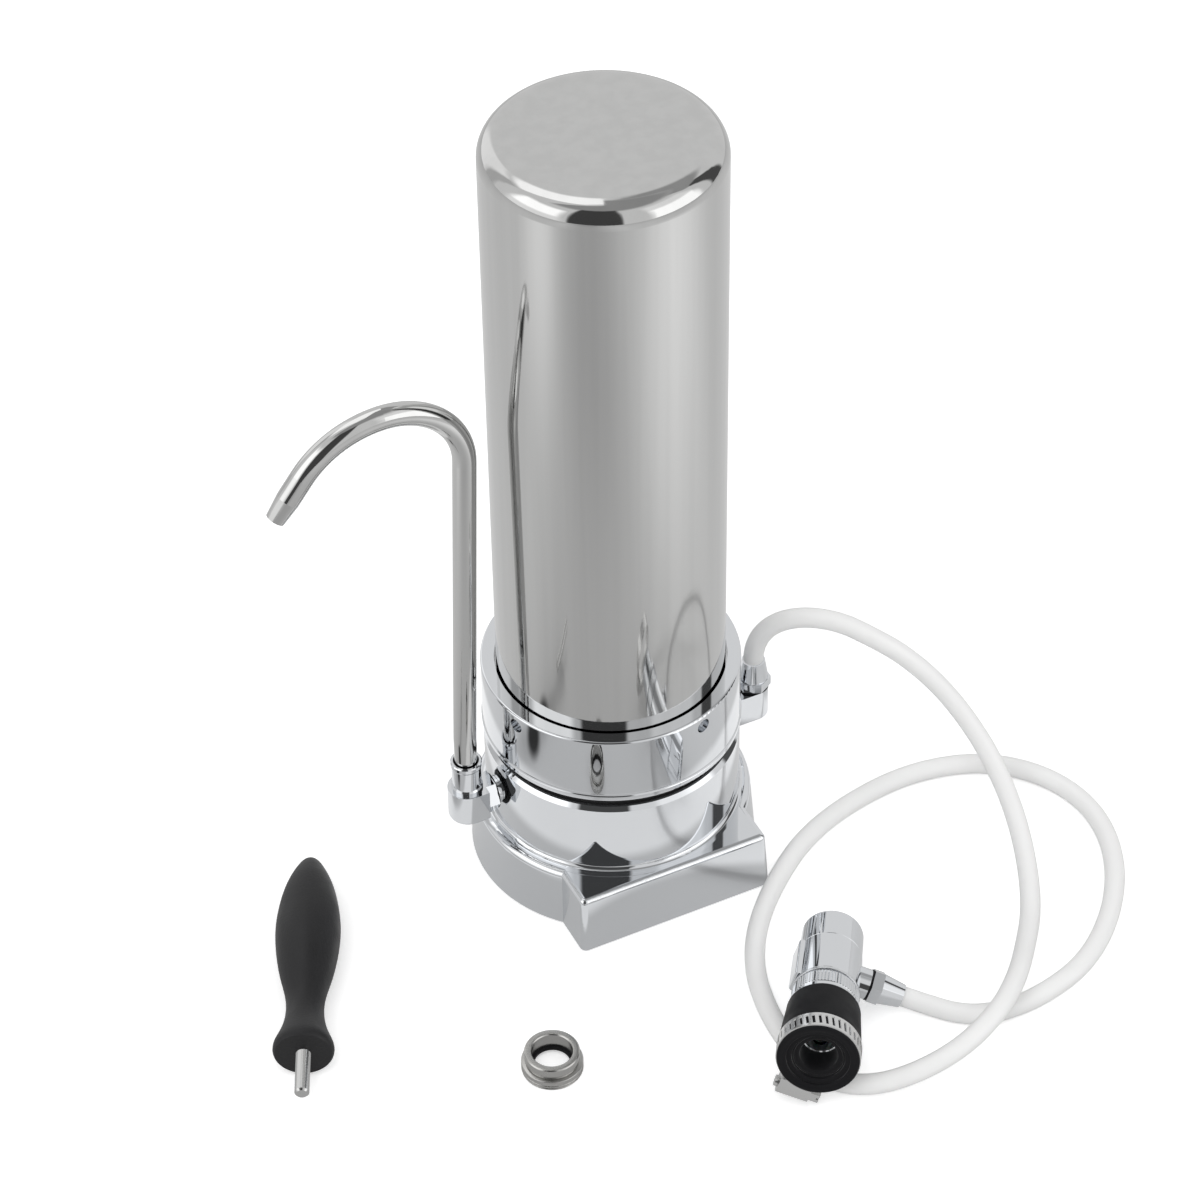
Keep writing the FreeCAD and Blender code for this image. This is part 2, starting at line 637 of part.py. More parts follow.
def elbow(radius, face, nipple_r, nipple_h, socket_r, socket_low):
    top = PORT_Z + ELBOW_H / 2
    reach = PORT_X - face
    inner = PORT_X - STUB_END
    body = joined(elbow_body(radius, reach), cylinder(nipple_r, top - 1, top + nipple_h),
                  bar(STUB_R, (reach - 1, 0, PORT_Z), (inner, 0, PORT_Z)))
    body = body.cut(cylinder(socket_r, socket_low, top + nipple_h + 1))
    body = body.cut(cylinder(STUB_BORE_R, PORT_Z, top))
    return body.cut(bar(STUB_BORE_R, (0, 0, PORT_Z), (inner + 1, 0, PORT_Z)))


def outlet_elbow():
    shape = elbow(OUT_ELBOW_R, OUT_ELBOW_FACE, gland_r(), NIPPLE_H, SPOUT_R + RUN, SPOUT_FOOT - 0.1)
    shape.translate(V(-PORT_X, 0, 0))
    return shape


def inlet_elbow():
    shape = elbow(IN_ELBOW_R, IN_ELBOW_FACE, HOSE_NIPPLE_R, HOSE_NIPPLE_H, 2.4, PORT_Z)
    shape.rotate(V(0, 0, 0), UP, 180)
    shape.translate(V(PORT_X, 0, 0))
    return shape


def port_washers():
    solids = []
    for side in (-1, 1):
        washer = tube(PORT_HEX / 2 + PORT_WASHER_OUT, STUB_R, PAD_FACE, IN_ELBOW_FACE)
        washer.rotate(V(0, 0, 0), V(0, 1, 0), side * 90)
        washer.translate(V(0, 0, PORT_Z))
        solids.append(washer)
    return Part.makeCompound(solids)


def port_lock_nut():
    """The hexagon that locks the outlet elbow's stub against its flat."""
    nut = hexagon(PORT_HEX, IN_ELBOW_FACE, OUT_ELBOW_FACE)
    nut = nut.cut(cylinder(STUB_R + RUN, IN_ELBOW_FACE - 1, OUT_ELBOW_FACE + 1))
    nut.rotate(V(0, 0, 0), V(0, 1, 0), -90)
    nut.translate(V(0, 0, PORT_Z))
    return nut


# Spout

def elbow_top():
    return PORT_Z + ELBOW_H / 2


def gland_r():
    """Radius of what the spout nut turns round, inside its bore."""
    return SPOUT_NUT_WAIST - SPOUT_NUT_WALL - RUN


def crook_places():
    """Corner points of the spout's axis: knee, start, top and end of the crook, and tip."""
    lean = math.radians(SPOUT_LEAN)
    knee = V(-PORT_X, 0, SPOUT_KNEE)
    start = V(-PORT_X + (SPOUT_RISE - SPOUT_KNEE) * math.tan(lean), 0, SPOUT_RISE)
    hub = start + V(-CROOK_R * math.cos(lean), 0, CROOK_R * math.sin(lean))
    top = hub + V(0, 0, CROOK_R)
    wide_hub = top - V(0, 0, CROOK_OUT_R)
    return lean, knee, start, hub, top, wide_hub


def arc_point(hub, radius, angle):
    """A point above hub, turned by angle from straight up towards -X."""
    return hub + V(-radius * math.sin(angle), 0, radius * math.cos(angle))


def spout_path():
    lean, knee, start, hub, top, wide_hub = crook_places()
    bend = SPOUT_KNEE_R * math.tan(lean / 2)
    rise = V(math.sin(lean), 0, math.cos(lean))
    knee_in = knee - UP * bend
    knee_out = knee + rise * bend
    knee_hub = knee_in + V(SPOUT_KNEE_R, 0, 0)
    knee_mid = knee_hub + V(-math.cos(lean / 2), 0, math.sin(lean / 2)) * SPOUT_KNEE_R
    end = math.radians(CROOK_END)
    crook_end = arc_point(wide_hub, CROOK_OUT_R, end)
    run_out = V(-math.cos(end), 0, -math.sin(end))
    tip_start = crook_end + run_out * SPOUT_RUN
    crook_mid = arc_point(hub, CROOK_R, -(math.pi / 2 + lean) / 2)
    edges = [Part.LineSegment(V(-PORT_X, 0, SPOUT_FOOT), knee_in).toShape(),
             Part.Arc(knee_in, knee_mid, knee_out).toShape(),
             Part.LineSegment(knee_out, start).toShape(),
             Part.Arc(start, crook_mid, top).toShape(),
             Part.Arc(top, arc_point(wide_hub, CROOK_OUT_R, end / 2), crook_end).toShape(),
             Part.LineSegment(crook_end, tip_start).toShape()]
    return Part.Wire(edges), tip_start, run_out


def swept(path, radius):
    """A round bar along a path of tangent lines and arcs."""
    first = path.OrderedEdges[0]
    begin = first.valueAt(first.FirstParameter)
    way = first.tangentAt(first.FirstParameter)
    circle = Part.Wire(Part.makeCircle(radius, begin, way))
    return path.makePipeShell([circle], True, False)


def spout_tube():
    path, tip, way = spout_path()
    outer = swept(path, SPOUT_R).fuse(Part.makeCone(SPOUT_R, TIP_R, TIP_L, tip, way))
    bore = swept(path, SPOUT_R - SPOUT_WALL)
    bore = bore.fuse(Part.makeCone(SPOUT_R - SPOUT_WALL, TIP_R - SPOUT_WALL, TIP_L, tip, way))
    return outer.cut(bore).removeSplitter()


def spout_nut():
    low = elbow_top()
    top = low + SPOUT_NUT_H
    nut = turned((0, low), (SPOUT_NUT_R, low), (SPOUT_NUT_R, low + SPOUT_NUT_LIP * 0.6),
                 (SPOUT_NUT_WAIST, low + SPOUT_NUT_LIP), (SPOUT_NUT_WAIST, top - SPOUT_NUT_LIP * 1.4),
                 (SPOUT_NUT_R, top - SPOUT_NUT_LIP), (SPOUT_NUT_R, top - 0.4), (SPOUT_NUT_R - 0.4, top),
                 (0, top))
    nut = nut.cut(cylinder(SPOUT_NUT_WAIST - SPOUT_NUT_WALL, low - 1, top + 1))
    nut.translate(V(-PORT_X, 0, 0))
    return nut


def spout_ferrule():
    low = elbow_top() + NIPPLE_H + 0.1
    return tube(gland_r(), SPOUT_R + RUN, low, low + FERRULE_H, -PORT_X)


def spout_seal():
    low = elbow_top() + NIPPLE_H + FERRULE_H + 0.2
    top = elbow_top() + SPOUT_NUT_H - SEAL_DROP
    return tube(gland_r(), SPOUT_R + RUN, low, top, -PORT_X)


# Hose nuts: built upright with the elbow's or boss's face at height 0

def hose_washer_shape():
    return tube(HOSE_NUT_HEX / 2, HOSE_NIPPLE_R + LOOSE, 0, HOSE_WASHER_T - RUN)


def hose_nut_shape():
    low = HOSE_WASHER_T
    top = low + HOSE_NUT_H
    hex_top = low + HOSE_NUT_HEX_H
    cone = turned((0, hex_top - 1.2), (HOSE_NUT_BASE_R, hex_top - 1.2), (HOSE_NUT_BASE_R, hex_top),
                  (HOSE_NUT_RIM_R, top), (0, top))
    nut = joined(hexagon(HOSE_NUT_HEX, low, hex_top), cone)
    shoulder = HOSE_NIPPLE_H + OLIVE_H + 0.2
    nut = nut.cut(cylinder(HOSE_NIPPLE_R + LOOSE, low - 1, shoulder))
    return nut.cut(cylinder(HOSE_BORE_R, shoulder - 1, top + 1))


def olive_shape():
    low = HOSE_NIPPLE_H + 0.1
    return tube(HOSE_NIPPLE_R + LOOSE - RUN, HOSE_BORE_R - OLIVE_LIP, low, low + OLIVE_H)


def on_inlet(shape):
    shape.translate(V(PORT_X, 0, elbow_top()))
    return shape


def inlet_washer():
    return on_inlet(hose_washer_shape())


def inlet_hose_nut():
    return on_inlet(hose_nut_shape())


def inlet_olive():
    return on_inlet(olive_shape())


# Diverter: every piece is built on its own axis and then put in place

def diverter_frame():
    heading = math.radians(DIV_HEADING)
    tip = math.radians(DIV_TILT)
    roll = math.radians(DIV_ROLL)
    along = V(math.cos(heading) * math.cos(tip), math.sin(heading) * math.cos(tip), -math.sin(tip))
    side = V(math.sin(heading), -math.cos(heading), 0)
    over = side.cross(along)
    port = side * math.cos(roll) - over * math.sin(roll)
    return port, along.cross(port), along


def in_diverter(shape):
    x, y, z = diverter_frame()
    at = V(*DIV_FRONT)
    matrix = FreeCAD.Matrix(x.x, y.x, z.x, at.x, x.y, y.y, z.y, at.y, x.z, y.z, z.z, at.z, 0, 0, 0, 1)
    shape.Placement = FreeCAD.Placement(matrix).multiply(shape.Placement)
    return shape


def knurl_low():
    return SLEEVE_L + COLLAR_T + 0.4


def body_low():
    return knurl_low() + KNURL_L + 0.3


def seam():
    return body_low() + BODY_L


def port_station():
    return body_low() + PORT_AT


def tap_sleeve():
    """Rubber sleeve that is pushed over a tap's spout and clamped there."""
    seat = SLEEVE_R - BAND_SINK
    root = SLEEVE_EDGE * (1 - math.sqrt(0.5))
    band_end = BAND_AT + BAND_W
    rubber = turned((0, 0), (SLEEVE_R - 0.8, 0), (SLEEVE_R, 0.8), (SLEEVE_R, BAND_AT), (seat, BAND_AT),
                    (seat, band_end), (SLEEVE_R - 0.1, band_end), (SLEEVE_BACK_R, SLEEVE_L - SLEEVE_EDGE),
                    (SLEEVE_BACK_R - root, SLEEVE_L - root, SLEEVE_BACK_R - SLEEVE_EDGE, SLEEVE_L),
                    (0, SLEEVE_L))
    rubber = rubber.cut(cylinder(SLEEVE_STEP_R, -1, SLEEVE_STEP_DEPTH))
    rubber = rubber.cut(cylinder(SLEEVE_STEP_R - 2.2, -1, 2 * SLEEVE_STEP_DEPTH))
    rubber = rubber.cut(cylinder(SLEEVE_HOLE_R, -1, SLEEVE_L + 1))
    rubber = rubber.cut(cylinder(NOSE_R, SLEEVE_L - NOSE_L, SLEEVE_L + 1))
    return in_diverter(rubber)


def clamp_band():
    inner = SLEEVE_R - BAND_SINK
    band = tube(inner + BAND_T, inner, BAND_AT, BAND_AT + BAND_W)
    return in_diverter(band)


def housing_low():
    return SLEEVE_R - BAND_SINK + BAND_T


def clamp_screw_y():
    return housing_low() + HOUSING_H / 2


def clamp_housing():
    """The folded box on the band that the worm screw turns in."""
    wide = BAND_W + 1.2
    low = BAND_AT - 0.6
    box = Part.makeBox(HOUSING_TO - HOUSING_FROM, HOUSING_H + 2, wide, V(HOUSING_FROM, housing_low() - 2, low))
    along = [e for e in box.Edges if e.BoundBox.YMin > housing_low() + HOUSING_H - 0.1 and
             e.BoundBox.XLength > 1]
    box = box.makeFillet(2.4, along)
    box = box.cut(cylinder(housing_low(), low - 1, low + wide + 1))
    mid = (low + wide / 2)
    y = clamp_screw_y()
    box = box.cut(bar(CLAMP_SCREW_R + RUN, (HOUSING_FROM - 1, y, mid), (HOUSING_TO + 1, y, mid)))
    return in_diverter(box)


def clamp_screw():
    """Worm screw with a slotted hexagon head."""
    mid = BAND_AT + BAND_W / 2
    y = clamp_screw_y()
    head = hexagon(CLAMP_SCREW_HEX, 0, CLAMP_SCREW_HEAD_H)
    slot = Part.makeBox(CLAMP_SCREW_HEX * 1.4, 0.9, 1.4, V(-CLAMP_SCREW_HEX * 0.7, -0.45, CLAMP_SCREW_HEAD_H - 1.2))
    head = head.cut(slot)
    shank = cylinder(CLAMP_SCREW_R, HOUSING_FROM - HOUSING_TO - 1.6, 0.1)
    whole = joined(head, shank)
    whole.rotate(V(0, 0, 0), V(0, 1, 0), 90)
    whole.translate(V(HOUSING_TO + 0.2, y, mid))
    return in_diverter(whole)


def tap_connector():
    """Barbed nose in the rubber sleeve, with a collar behind it and a flange in the knurled ring."""
    start = SLEEVE_L - NOSE_L
    collar = SLEEVE_L + 0.2
    flange = knurl_low() + KNURL_LIP + 0.2
    outline = [(NOSE_BORE_R, start), (NOSE_R - 1.2, start)]
    step = (NOSE_L - 2.0) / 4
    for n in range(4):
        outline.append((NOSE_R - 0.05, start + step * (n + 1) - 0.6))
        outline.append((NOSE_R - 0.9, start + step * (n + 1)))
    outline += [(NOSE_R - 0.9, collar), (COLLAR_R, collar), (COLLAR_R, collar + COLLAR_T - 0.6),
                (CONNECTOR_NECK_R, collar + COLLAR_T - 0.6), (CONNECTOR_NECK_R, flange),
                (CONNECTOR_FLANGE_R, flange), (CONNECTOR_FLANGE_R, flange + 1.6),
                (NOSE_BORE_R, flange + 1.6)]
    return in_diverter(turned(*outline))


def knurled_ring():
    low = knurl_low()
    top = low + KNURL_L
    groove = top - 2.4
    ring = turned((0, low), (KNURL_R - 0.5, low), (KNURL_R, low + 0.5), (KNURL_R, groove),
                  (KNURL_R - 0.5, groove + 0.1), (KNURL_R - 0.5, groove + 0.6), (KNURL_R + 0.3, groove + 0.8),
                  (KNURL_R + 0.3, top - 0.3), (KNURL_R, top), (0, top))
    ring = ring.cut(cylinder(CONNECTOR_NECK_R + 0.1, low - 1, low + KNURL_LIP + 1))
    ring = ring.cut(cylinder(SPIGOT_THREAD_R + RUN, low + KNURL_LIP, top + 1))
    return in_diverter(ring)


def swivel_washer():
    low = knurl_low() + KNURL_LIP + 1.9
    return in_diverter(tube(SPIGOT_THREAD_R - 0.3, NOSE_BORE_R, low, low + SWIVEL_WASHER_T))


def diverter_body():
    low = body_low()
    thread = knurl_low() + KNURL_LIP + 2.0 + SWIVEL_WASHER_T
    top = seam()
    body = turned((0, thread), (SPIGOT_THREAD_R, thread), (SPIGOT_THREAD_R, low), (BODY_R - 0.5, low),
                  (BODY_R, low + 0.5), (BODY_R, top - 0.2), (BODY_R - 0.2, top), (TAIL_R, top),
                  (TAIL_R, top + TAIL_L), (0, top + TAIL_L))
    rib = Part.makeBox(RIB_OUT + BODY_R, RIB_W, BODY_L - 0.6, V(-RIB_OUT - BODY_R, -RIB_W / 2, low + 0.4))
    edges = [e for e in rib.Edges if e.BoundBox.XMax < -BODY_R - RIB_OUT + 0.1]
    rib = rib.makeFillet(1.2, edges)
    mid = port_station()
    boss = bar(BOSS_R, (0, 0, mid), (BOSS_END, 0, mid))
    stub = bar(HOSE_NIPPLE_R, (0, 0, mid), (BOSS_END + HOSE_NIPPLE_H, 0, mid))
    body = joined(body, rib, boss, stub)
    body = body.cut(cylinder(BODY_BORE_R, thread - 1, top + TAIL_L + 1))
    body = body.cut(bar(2.4, (0, 0, mid), (BOSS_END + HOSE_NIPPLE_H + 1, 0, mid)))
    return in_diverter(body)


def diverter_core():
    """Plug that turns with the outlet sleeve: one side window faces the hose port."""
    start = port_station() - CORE_L / 2
    web = seam() + TAIL_L + WEB_GAP
    core = joined(cylinder(BODY_BORE_R - RUN, start, seam() + TAIL_L - 0.4), cylinder(CORE_STEM_R, start, web + WEB_T))
    core = core.cut(cylinder(CORE_BORE_R, start - 1, port_station() + CORE_L / 4))
    core = core.cut(bar(3.0, (0, 0, port_station()), (BODY_BORE_R + 1, 0, port_station())))
    return in_diverter(core)


def outlet_sleeve():
    low = seam() + 0.15
    top = low + OUTLET_L
    root = OUTLET_EDGE * (1 - math.sqrt(0.5))
    web = seam() + TAIL_L + WEB_GAP
    shell = turned((0, low), (OUTLET_R - 0.2, low), (OUTLET_R, low + 0.2), (OUTLET_R - 0.3, top - OUTLET_EDGE),
                   (OUTLET_R - 0.3 - root, top - root, OUTLET_R - 0.3 - OUTLET_EDGE, top), (0, top))
    shell = shell.cut(cylinder(TAIL_R + RUN, low - 1, web))
    shell = shell.cut(cylinder(CORE_STEM_R, web - 1, web + WEB_T + 1))
    shell = shell.cut(cylinder(OUTLET_BORE_R - 1.4, web + WEB_T, top + 1))
    for n in range(6):
        angle = math.radians(60 * n)
        x = WEB_HOLE_CIRCLE * math.cos(angle)
        y = WEB_HOLE_CIRCLE * math.sin(angle)
        shell = shell.cut(cylinder(WEB_HOLE_R, web - 1, web + WEB_T + 1, x, y))
    return in_diverter(shell)


def aerator_ring():
    top = seam() + 0.15 + OUTLET_L + AERATOR_OUT
    outer = OUTLET_BORE_R - 1.4
    return in_diverter(tube(outer, outer - 1.4, top - AERATOR_L, top))


def aerator_screen():
    """Perforated disc inside the aerator."""
    low = seam() + 0.15 + OUTLET_L + AERATOR_OUT - 2.6
    outer = OUTLET_BORE_R - 2.8
    disc = cylinder(outer, low, low + SCREEN_T)
    places = [(0.0, 0.0)]
    for ring, count in ((SCREEN_PITCH, 6), (2 * SCREEN_PITCH, 12)):
        for n in range(count):
            angle = 2 * math.pi * n / count
            places.append((ring * math.cos(angle), ring * math.sin(angle)))
    for x, y in places:
        disc = disc.cut(cylinder(SCREEN_HOLE_R, low - 1, low + SCREEN_T + 1, x, y))
    return in_diverter(disc)


def on_port(shape):
    """Turns a piece built upright on a face at height 0 onto the boss of the diverter."""
    shape.rotate(V(0, 0, 0), V(0, 1, 0), 90)
    shape.translate(V(BOSS_END, 0, port_station()))
    return in_diverter(shape)


def diverter_washer():
    return on_port(hose_washer_shape())


def diverter_hose_nut():
    return on_port(hose_nut_shape())


def diverter_olive():
    return on_port(olive_shape())


# Hose

def nut_face():
    return HOSE_WASHER_T + HOSE_NUT_H


def hose_points():
    """Corner points of the hose's axis, from the nut on the inlet to the nut on the diverter."""
    port, screw_side, along = diverter_frame()
    mouth = V(*DIV_FRONT) + along * port_station()
    end = mouth + port * (BOSS_END + nut_face())
    start = V(PORT_X, 0, elbow_top() + nut_face())
    first = start + UP * HOSE_RUN_OUT
    last = end + port * HOSE_RUN_IN
    return [start, first] + [V(*point) for point in HOSE_ROUTE] + [last, end]


def rounded_path(points):
    """Straight runs joined by arcs that touch both; returns the wire and the radii."""
    edges = []
    radii = []
    here = points[0]
    for n in range(1, len(points) - 1):
        before = points[n - 1] - points[n]
        after = points[n + 1] - points[n]
        reach = 0.45 * min(before.Length, after.Length)
        half_turn = (math.pi - before.getAngle(after)) / 2
        radius = reach / math.tan(half_turn)
        before.normalize()
        after.normalize()
        inward = before + after
        inward.normalize()
        start = points[n] + before * reach
        end = points[n] + after * reach
        middle = points[n] + inward * (radius / math.cos(half_turn) - radius)
        edges.append(Part.LineSegment(here, start).toShape())
        edges.append(Part.Arc(start, middle, end).toShape())
        radii.append(radius)
        here = end
    edges.append(Part.LineSegment(here, points[-1]).toShape())
    return Part.Wire(edges), radii


def hose():
    path, radii = rounded_path(hose_points())
    outer = swept(path, HOSE_R)
    solid = outer.cut(swept(path, HOSE_BORE_R))
    section = math.pi * (HOSE_R ** 2 - HOSE_BORE_R ** 2)
    print("hose radii", [round(radius, 1) for radius in radii])
    print("hose length", round(path.Length, 1), "volume ratio", round(solid.Volume / (section * path.Length), 4))
    return solid


# Wrench and adapter

def in_wrench(shape):
    """Stands a piece built on Z on its side, at the height of its widest radius."""
    rest = max(radius for at, radius in GRIP)
    shape.rotate(V(0, 0, 0), V(0, 1, 0), 90)
    shape.rotate(V(0, 0, 0), UP, WRENCH_HEADING)
    shape.translate(V(WRENCH_AT[0], WRENCH_AT[1], rest))
    return shape


def wrench_grip():
    points = [V(radius, 0, at) for at, radius in GRIP]
    curve = Part.BSplineCurve()
    curve.interpolate(points)
    base = Part.LineSegment(V(0, 0, 0), points[0]).toShape()
    axis = Part.LineSegment(points[-1], V(0, 0, 0)).toShape()
    grip = Part.Face(Part.Wire([base, curve.toShape(), axis])).revolve(V(0, 0, 0), UP, 360)
    grip = grip.cut(cylinder(PIN_R, -1, PIN_IN))
    return in_wrench(grip)


def wrench_pin():
    return in_wrench(turned((0, -PIN_OUT), (PIN_R - PIN_TIP, -PIN_OUT), (PIN_R, PIN_TIP - PIN_OUT),
                            (PIN_R, PIN_IN), (0, PIN_IN)))


def adapter_ring():
    """Tap thread adapter: a ring threaded outside at the top and inside at the bottom."""
    x, y = ADAPTER_AT
    ring = turned((0, 0), (ADAPTER_FLANGE_R - 0.4, 0), (ADAPTER_FLANGE_R, 0.4),
                  (ADAPTER_FLANGE_R, ADAPTER_FLANGE_H - 0.4), (ADAPTER_FLANGE_R - 0.4, ADAPTER_FLANGE_H),
                  (ADAPTER_TOP_R - 0.8, ADAPTER_FLANGE_H), (ADAPTER_TOP_R - 0.8, ADAPTER_FLANGE_H + 0.9),
                  (ADAPTER_TOP_R, ADAPTER_FLANGE_H + 1.3), (ADAPTER_TOP_R, ADAPTER_H - 0.6),
                  (ADAPTER_TOP_R - 0.6, ADAPTER_H), (0, ADAPTER_H))
    ring = ring.cut(cylinder(ADAPTER_BORE_R, -1, ADAPTER_H + 1))
    ring = ring.cut(cylinder(ADAPTER_SOCKET_R, -1, ADAPTER_SOCKET_H))
    ring.translate(V(x, y, 0))
    return ring


def adapter_washer():
    low = ADAPTER_SOCKET_H - ADAPTER_WASHER_T
    return tube(ADAPTER_SOCKET_R, ADAPTER_WASHER_BORE_R, low, low + ADAPTER_WASHER_T,
                ADAPTER_AT[0], ADAPTER_AT[1])


NODES = (base_shell, bottom_plate, rubber_pad, bottom_screws, head_screws, filter_head,
         cup_seal, spigot_rings, cup, lock_ring, cartridge_bottom_cap, cartridge_top_cap,
         cartridge_gasket, cartridge_block, cartridge_wrap, cartridge_core,
         port_washers, port_lock_nut, outlet_elbow, inlet_elbow,
         spout_tube, spout_nut, spout_ferrule, spout_seal, inlet_washer, inlet_hose_nut,
         inlet_olive, hose, tap_sleeve, clamp_band, clamp_housing, clamp_screw,
         tap_connector, knurled_ring, swivel_washer, diverter_body, diverter_core,
         outlet_sleeve, aerator_ring, aerator_screen, diverter_washer, diverter_hose_nut,
         diverter_olive, wrench_grip, wrench_pin, adapter_ring, adapter_washer)


os.makedirs("parts", exist_ok=True)
for node in NODES:
    shape = node()
    shape.exportStep("parts/" + node.__name__ + ".step")
    print(node.__name__, len(shape.Solids), shape.isValid(), round(shape.Volume, 1),
          [round(v, 1) for v in (shape.BoundBox.XMin, shape.BoundBox.YMin, shape.BoundBox.ZMin,
                                 shape.BoundBox.XMax, shape.BoundBox.YMax, shape.BoundBox.ZMax)])
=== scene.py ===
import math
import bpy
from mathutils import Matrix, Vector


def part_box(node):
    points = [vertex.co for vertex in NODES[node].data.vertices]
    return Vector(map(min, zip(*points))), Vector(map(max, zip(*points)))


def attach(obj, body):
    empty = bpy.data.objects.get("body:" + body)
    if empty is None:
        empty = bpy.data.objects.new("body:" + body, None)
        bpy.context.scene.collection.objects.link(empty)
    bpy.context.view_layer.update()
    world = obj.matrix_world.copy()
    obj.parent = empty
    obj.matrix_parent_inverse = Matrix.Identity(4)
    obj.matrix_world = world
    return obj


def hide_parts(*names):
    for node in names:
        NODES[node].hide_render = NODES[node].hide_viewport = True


bl_info = {
    "name": "Countertop Water Filter",
    "version": (1, 0, 0),
    "blender": (4, 5, 0),
    "location": "3D View > Sidebar > Filter",
    "description": "Finishes, soft pieces and studio for a countertop water filter",
    "category": "Object",
}

import bmesh
import bpy
from mathutils import Matrix, Vector

# The frame: metres, Z up, origin on the filter axis at the surface that it stands on.
# The flat front of the base faces -Y, the spout is on -X and the hose on +X.
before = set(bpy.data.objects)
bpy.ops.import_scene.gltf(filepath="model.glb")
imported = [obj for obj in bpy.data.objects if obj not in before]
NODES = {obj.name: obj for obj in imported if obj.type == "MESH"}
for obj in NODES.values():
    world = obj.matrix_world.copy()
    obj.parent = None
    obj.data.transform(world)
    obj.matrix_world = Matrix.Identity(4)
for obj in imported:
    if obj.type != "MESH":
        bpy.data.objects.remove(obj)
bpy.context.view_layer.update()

MM = 0.001

# Places of the frame's own pieces, in millimetres
PORT_X = 70.0
PORT_Z = 49.4
INLET_SEAT = 57.5        # where the inlet's washer lies
ADAPTER_AT = (-86.2, -116.0)

# The diverter: middle of the rubber sleeve's mouth, and how its axis runs from there (degrees)
SLEEVE_MOUTH = (3.0, -185.4, 29.0)
DIVERTER_HEADING = 57.0
DIVERTER_TILT = 10.2
DIVERTER_ROLL = 18.0
PORT_STATION = 61.1      # its hose port, from the mouth of the sleeve
PORT_FACE = 17.8         # end of that port's boss, from the diverter's axis
NUT_REACH = 33.3         # outer face of its hose nut, from the same axis
KNURL_TOP = 14.4         # radius over the ridges of its knurled ring

# The hose: its route from the inlet nut to the straight end in the diverter's nut
HOSE_ROUTE = (
    (PORT_X, 0.0, 73.0), (PORT_X, 0.0, 80.0), (73.6, -2.5, 90.8), (80.1, -7.1, 98.1),
    (90.1, -13.2, 100.8), (102.2, -19.9, 98.0), (112.0, -25.2, 91.3), (126.0, -33.2, 80.5),
    (139.0, -43.5, 65.5), (148.0, -56.0, 50.0), (152.5, -73.0, 36.0), (151.5, -94.0, 24.0),
    (146.0, -115.0, 14.0), (136.0, -136.0, 9.0), (121.0, -156.0, 13.5), (104.0, -177.0, 22.0),
    (87.5, -190.5, 23.0), (66.0, -198.5, 19.0), (45.0, -197.3, 12.0), (26.5, -190.8, 6.0),
    (11.0, -178.0, 4.6), (6.8, -155.5, 4.6), (8.0, -131.0, 4.6), (14.0, -108.0, 4.6),
    (27.0, -86.5, 4.6), (47.0, -66.5, 4.6), (71.5, -48.5, 4.6), (101.5, -38.0, 4.6),
    (135.0, -34.5, 4.6), (166.0, -43.0, 4.6), (187.0, -64.0, 4.6), (195.0, -92.0, 4.6),
    (188.0, -122.0, 4.6), (169.0, -150.0, 4.6), (144.0, -170.0, 4.6), (117.0, -178.0, 4.6),
    (95.0, -178.0, 4.6), (80.5, -172.0, 4.6),
)
HOSE_RUN_IN = 10.9

# The camera: where it stands, the axes of its picture, and its lens (mm)
CAMERA_AT = (-563.20, -1166.47, 1323.79)
CAMERA_AXES = (
    (0.896847, -0.442164, -0.012522),  # right
    (0.306965, 0.601742, 0.737346),    # up
    (-0.318493, -0.665130, 0.675399),  # back
)
LENS = 123.763
VIEW_DEPTH = (0.05, 50.0)  # metres

# Level directions of the studio: towards the camera, and to its right
FRONT = (-0.432, -0.902, 0.0)
ASIDE = (0.902, -0.432, 0.0)

# What shiny pieces see of the studio: first and last heading from FRONT, low and high edge
# above the horizon, softness of the edges (degrees), brightness
PANELS = (
    (-190, -108, 50, 83, 6, 1.45),      # soft box overhead, behind on the left
    (-75, 190, 61, 100, 10, 0.36),      # dark ceiling
    (98, 176, 47, 62, 6, 0.38),
    (-88, -38, -20, 13, 9, 1.10),       # left soft box and its skirt
    (-86, -40, 13, 46, 9, 1.65),
    (40, 90, 34, 52, 9, 1.05),          # right soft box and its upper edge
    (42, 89, -20, 34, 9, 1.60),
    (103, 121, -20, 48, 4, 0.09),       # stand at the right
    (-121, -106, -20, 46, 6, 0.56),
    (-152, -123, -20, 45, 8, 1.08),
    (-31, 15, -20, 64, 5, 0.07),  # dark gap that the camera looks through
)
ROOM = 0.80              # brightness between the panels
PLAIN_ROOM = 0.62        # brightness of the room for all that isn't shiny

# Painted reflection: what shiny pieces see of the floor, painted with light and shade, in metres
# from the filter axis
FLOOR_REACH = 6.0
FLOOR_TONE = 0.80
PAINTED_LIGHT_SPOTS = (          # painted light spots: ahead, beside, reach, brightness added
    (0.22, 0.48, 0.42, 0.38),
    (0.27, -0.45, 0.24, 0.30),
)
LANE_SLOPE = 0.25        # painted shade, a darker lane towards the camera: how it leans, and how it widens
LANE_WIDTH = 0.22
LANE_EDGE = (0.1, 1.15)
LANE_START = (-0.08, 0.12)
LANE_FADE = (0.2, 0.42)
LANE_TONES = (0.62, 0.54)
DARK_SPOT = (0.074, -0.133)          # painted dark spot: ahead, beside
DARK_SPOT_EDGE = (0.008, 0.020)
DARK_SPOT_TONE = 0.07
BRIGHT_RING = (0.093, 0.128, 0.008)  # painted bright ring: inner and outer radius, softness
BRIGHT_RING_MORE = 0.34
MATT_SHARE = 0.42        # shares of that painted brightness: light reflected from the lamps, and painted glow
GLOW_SHARE = 0.5
CAMERA_GLOW = 0.45       # glow that keeps the floor white for the camera

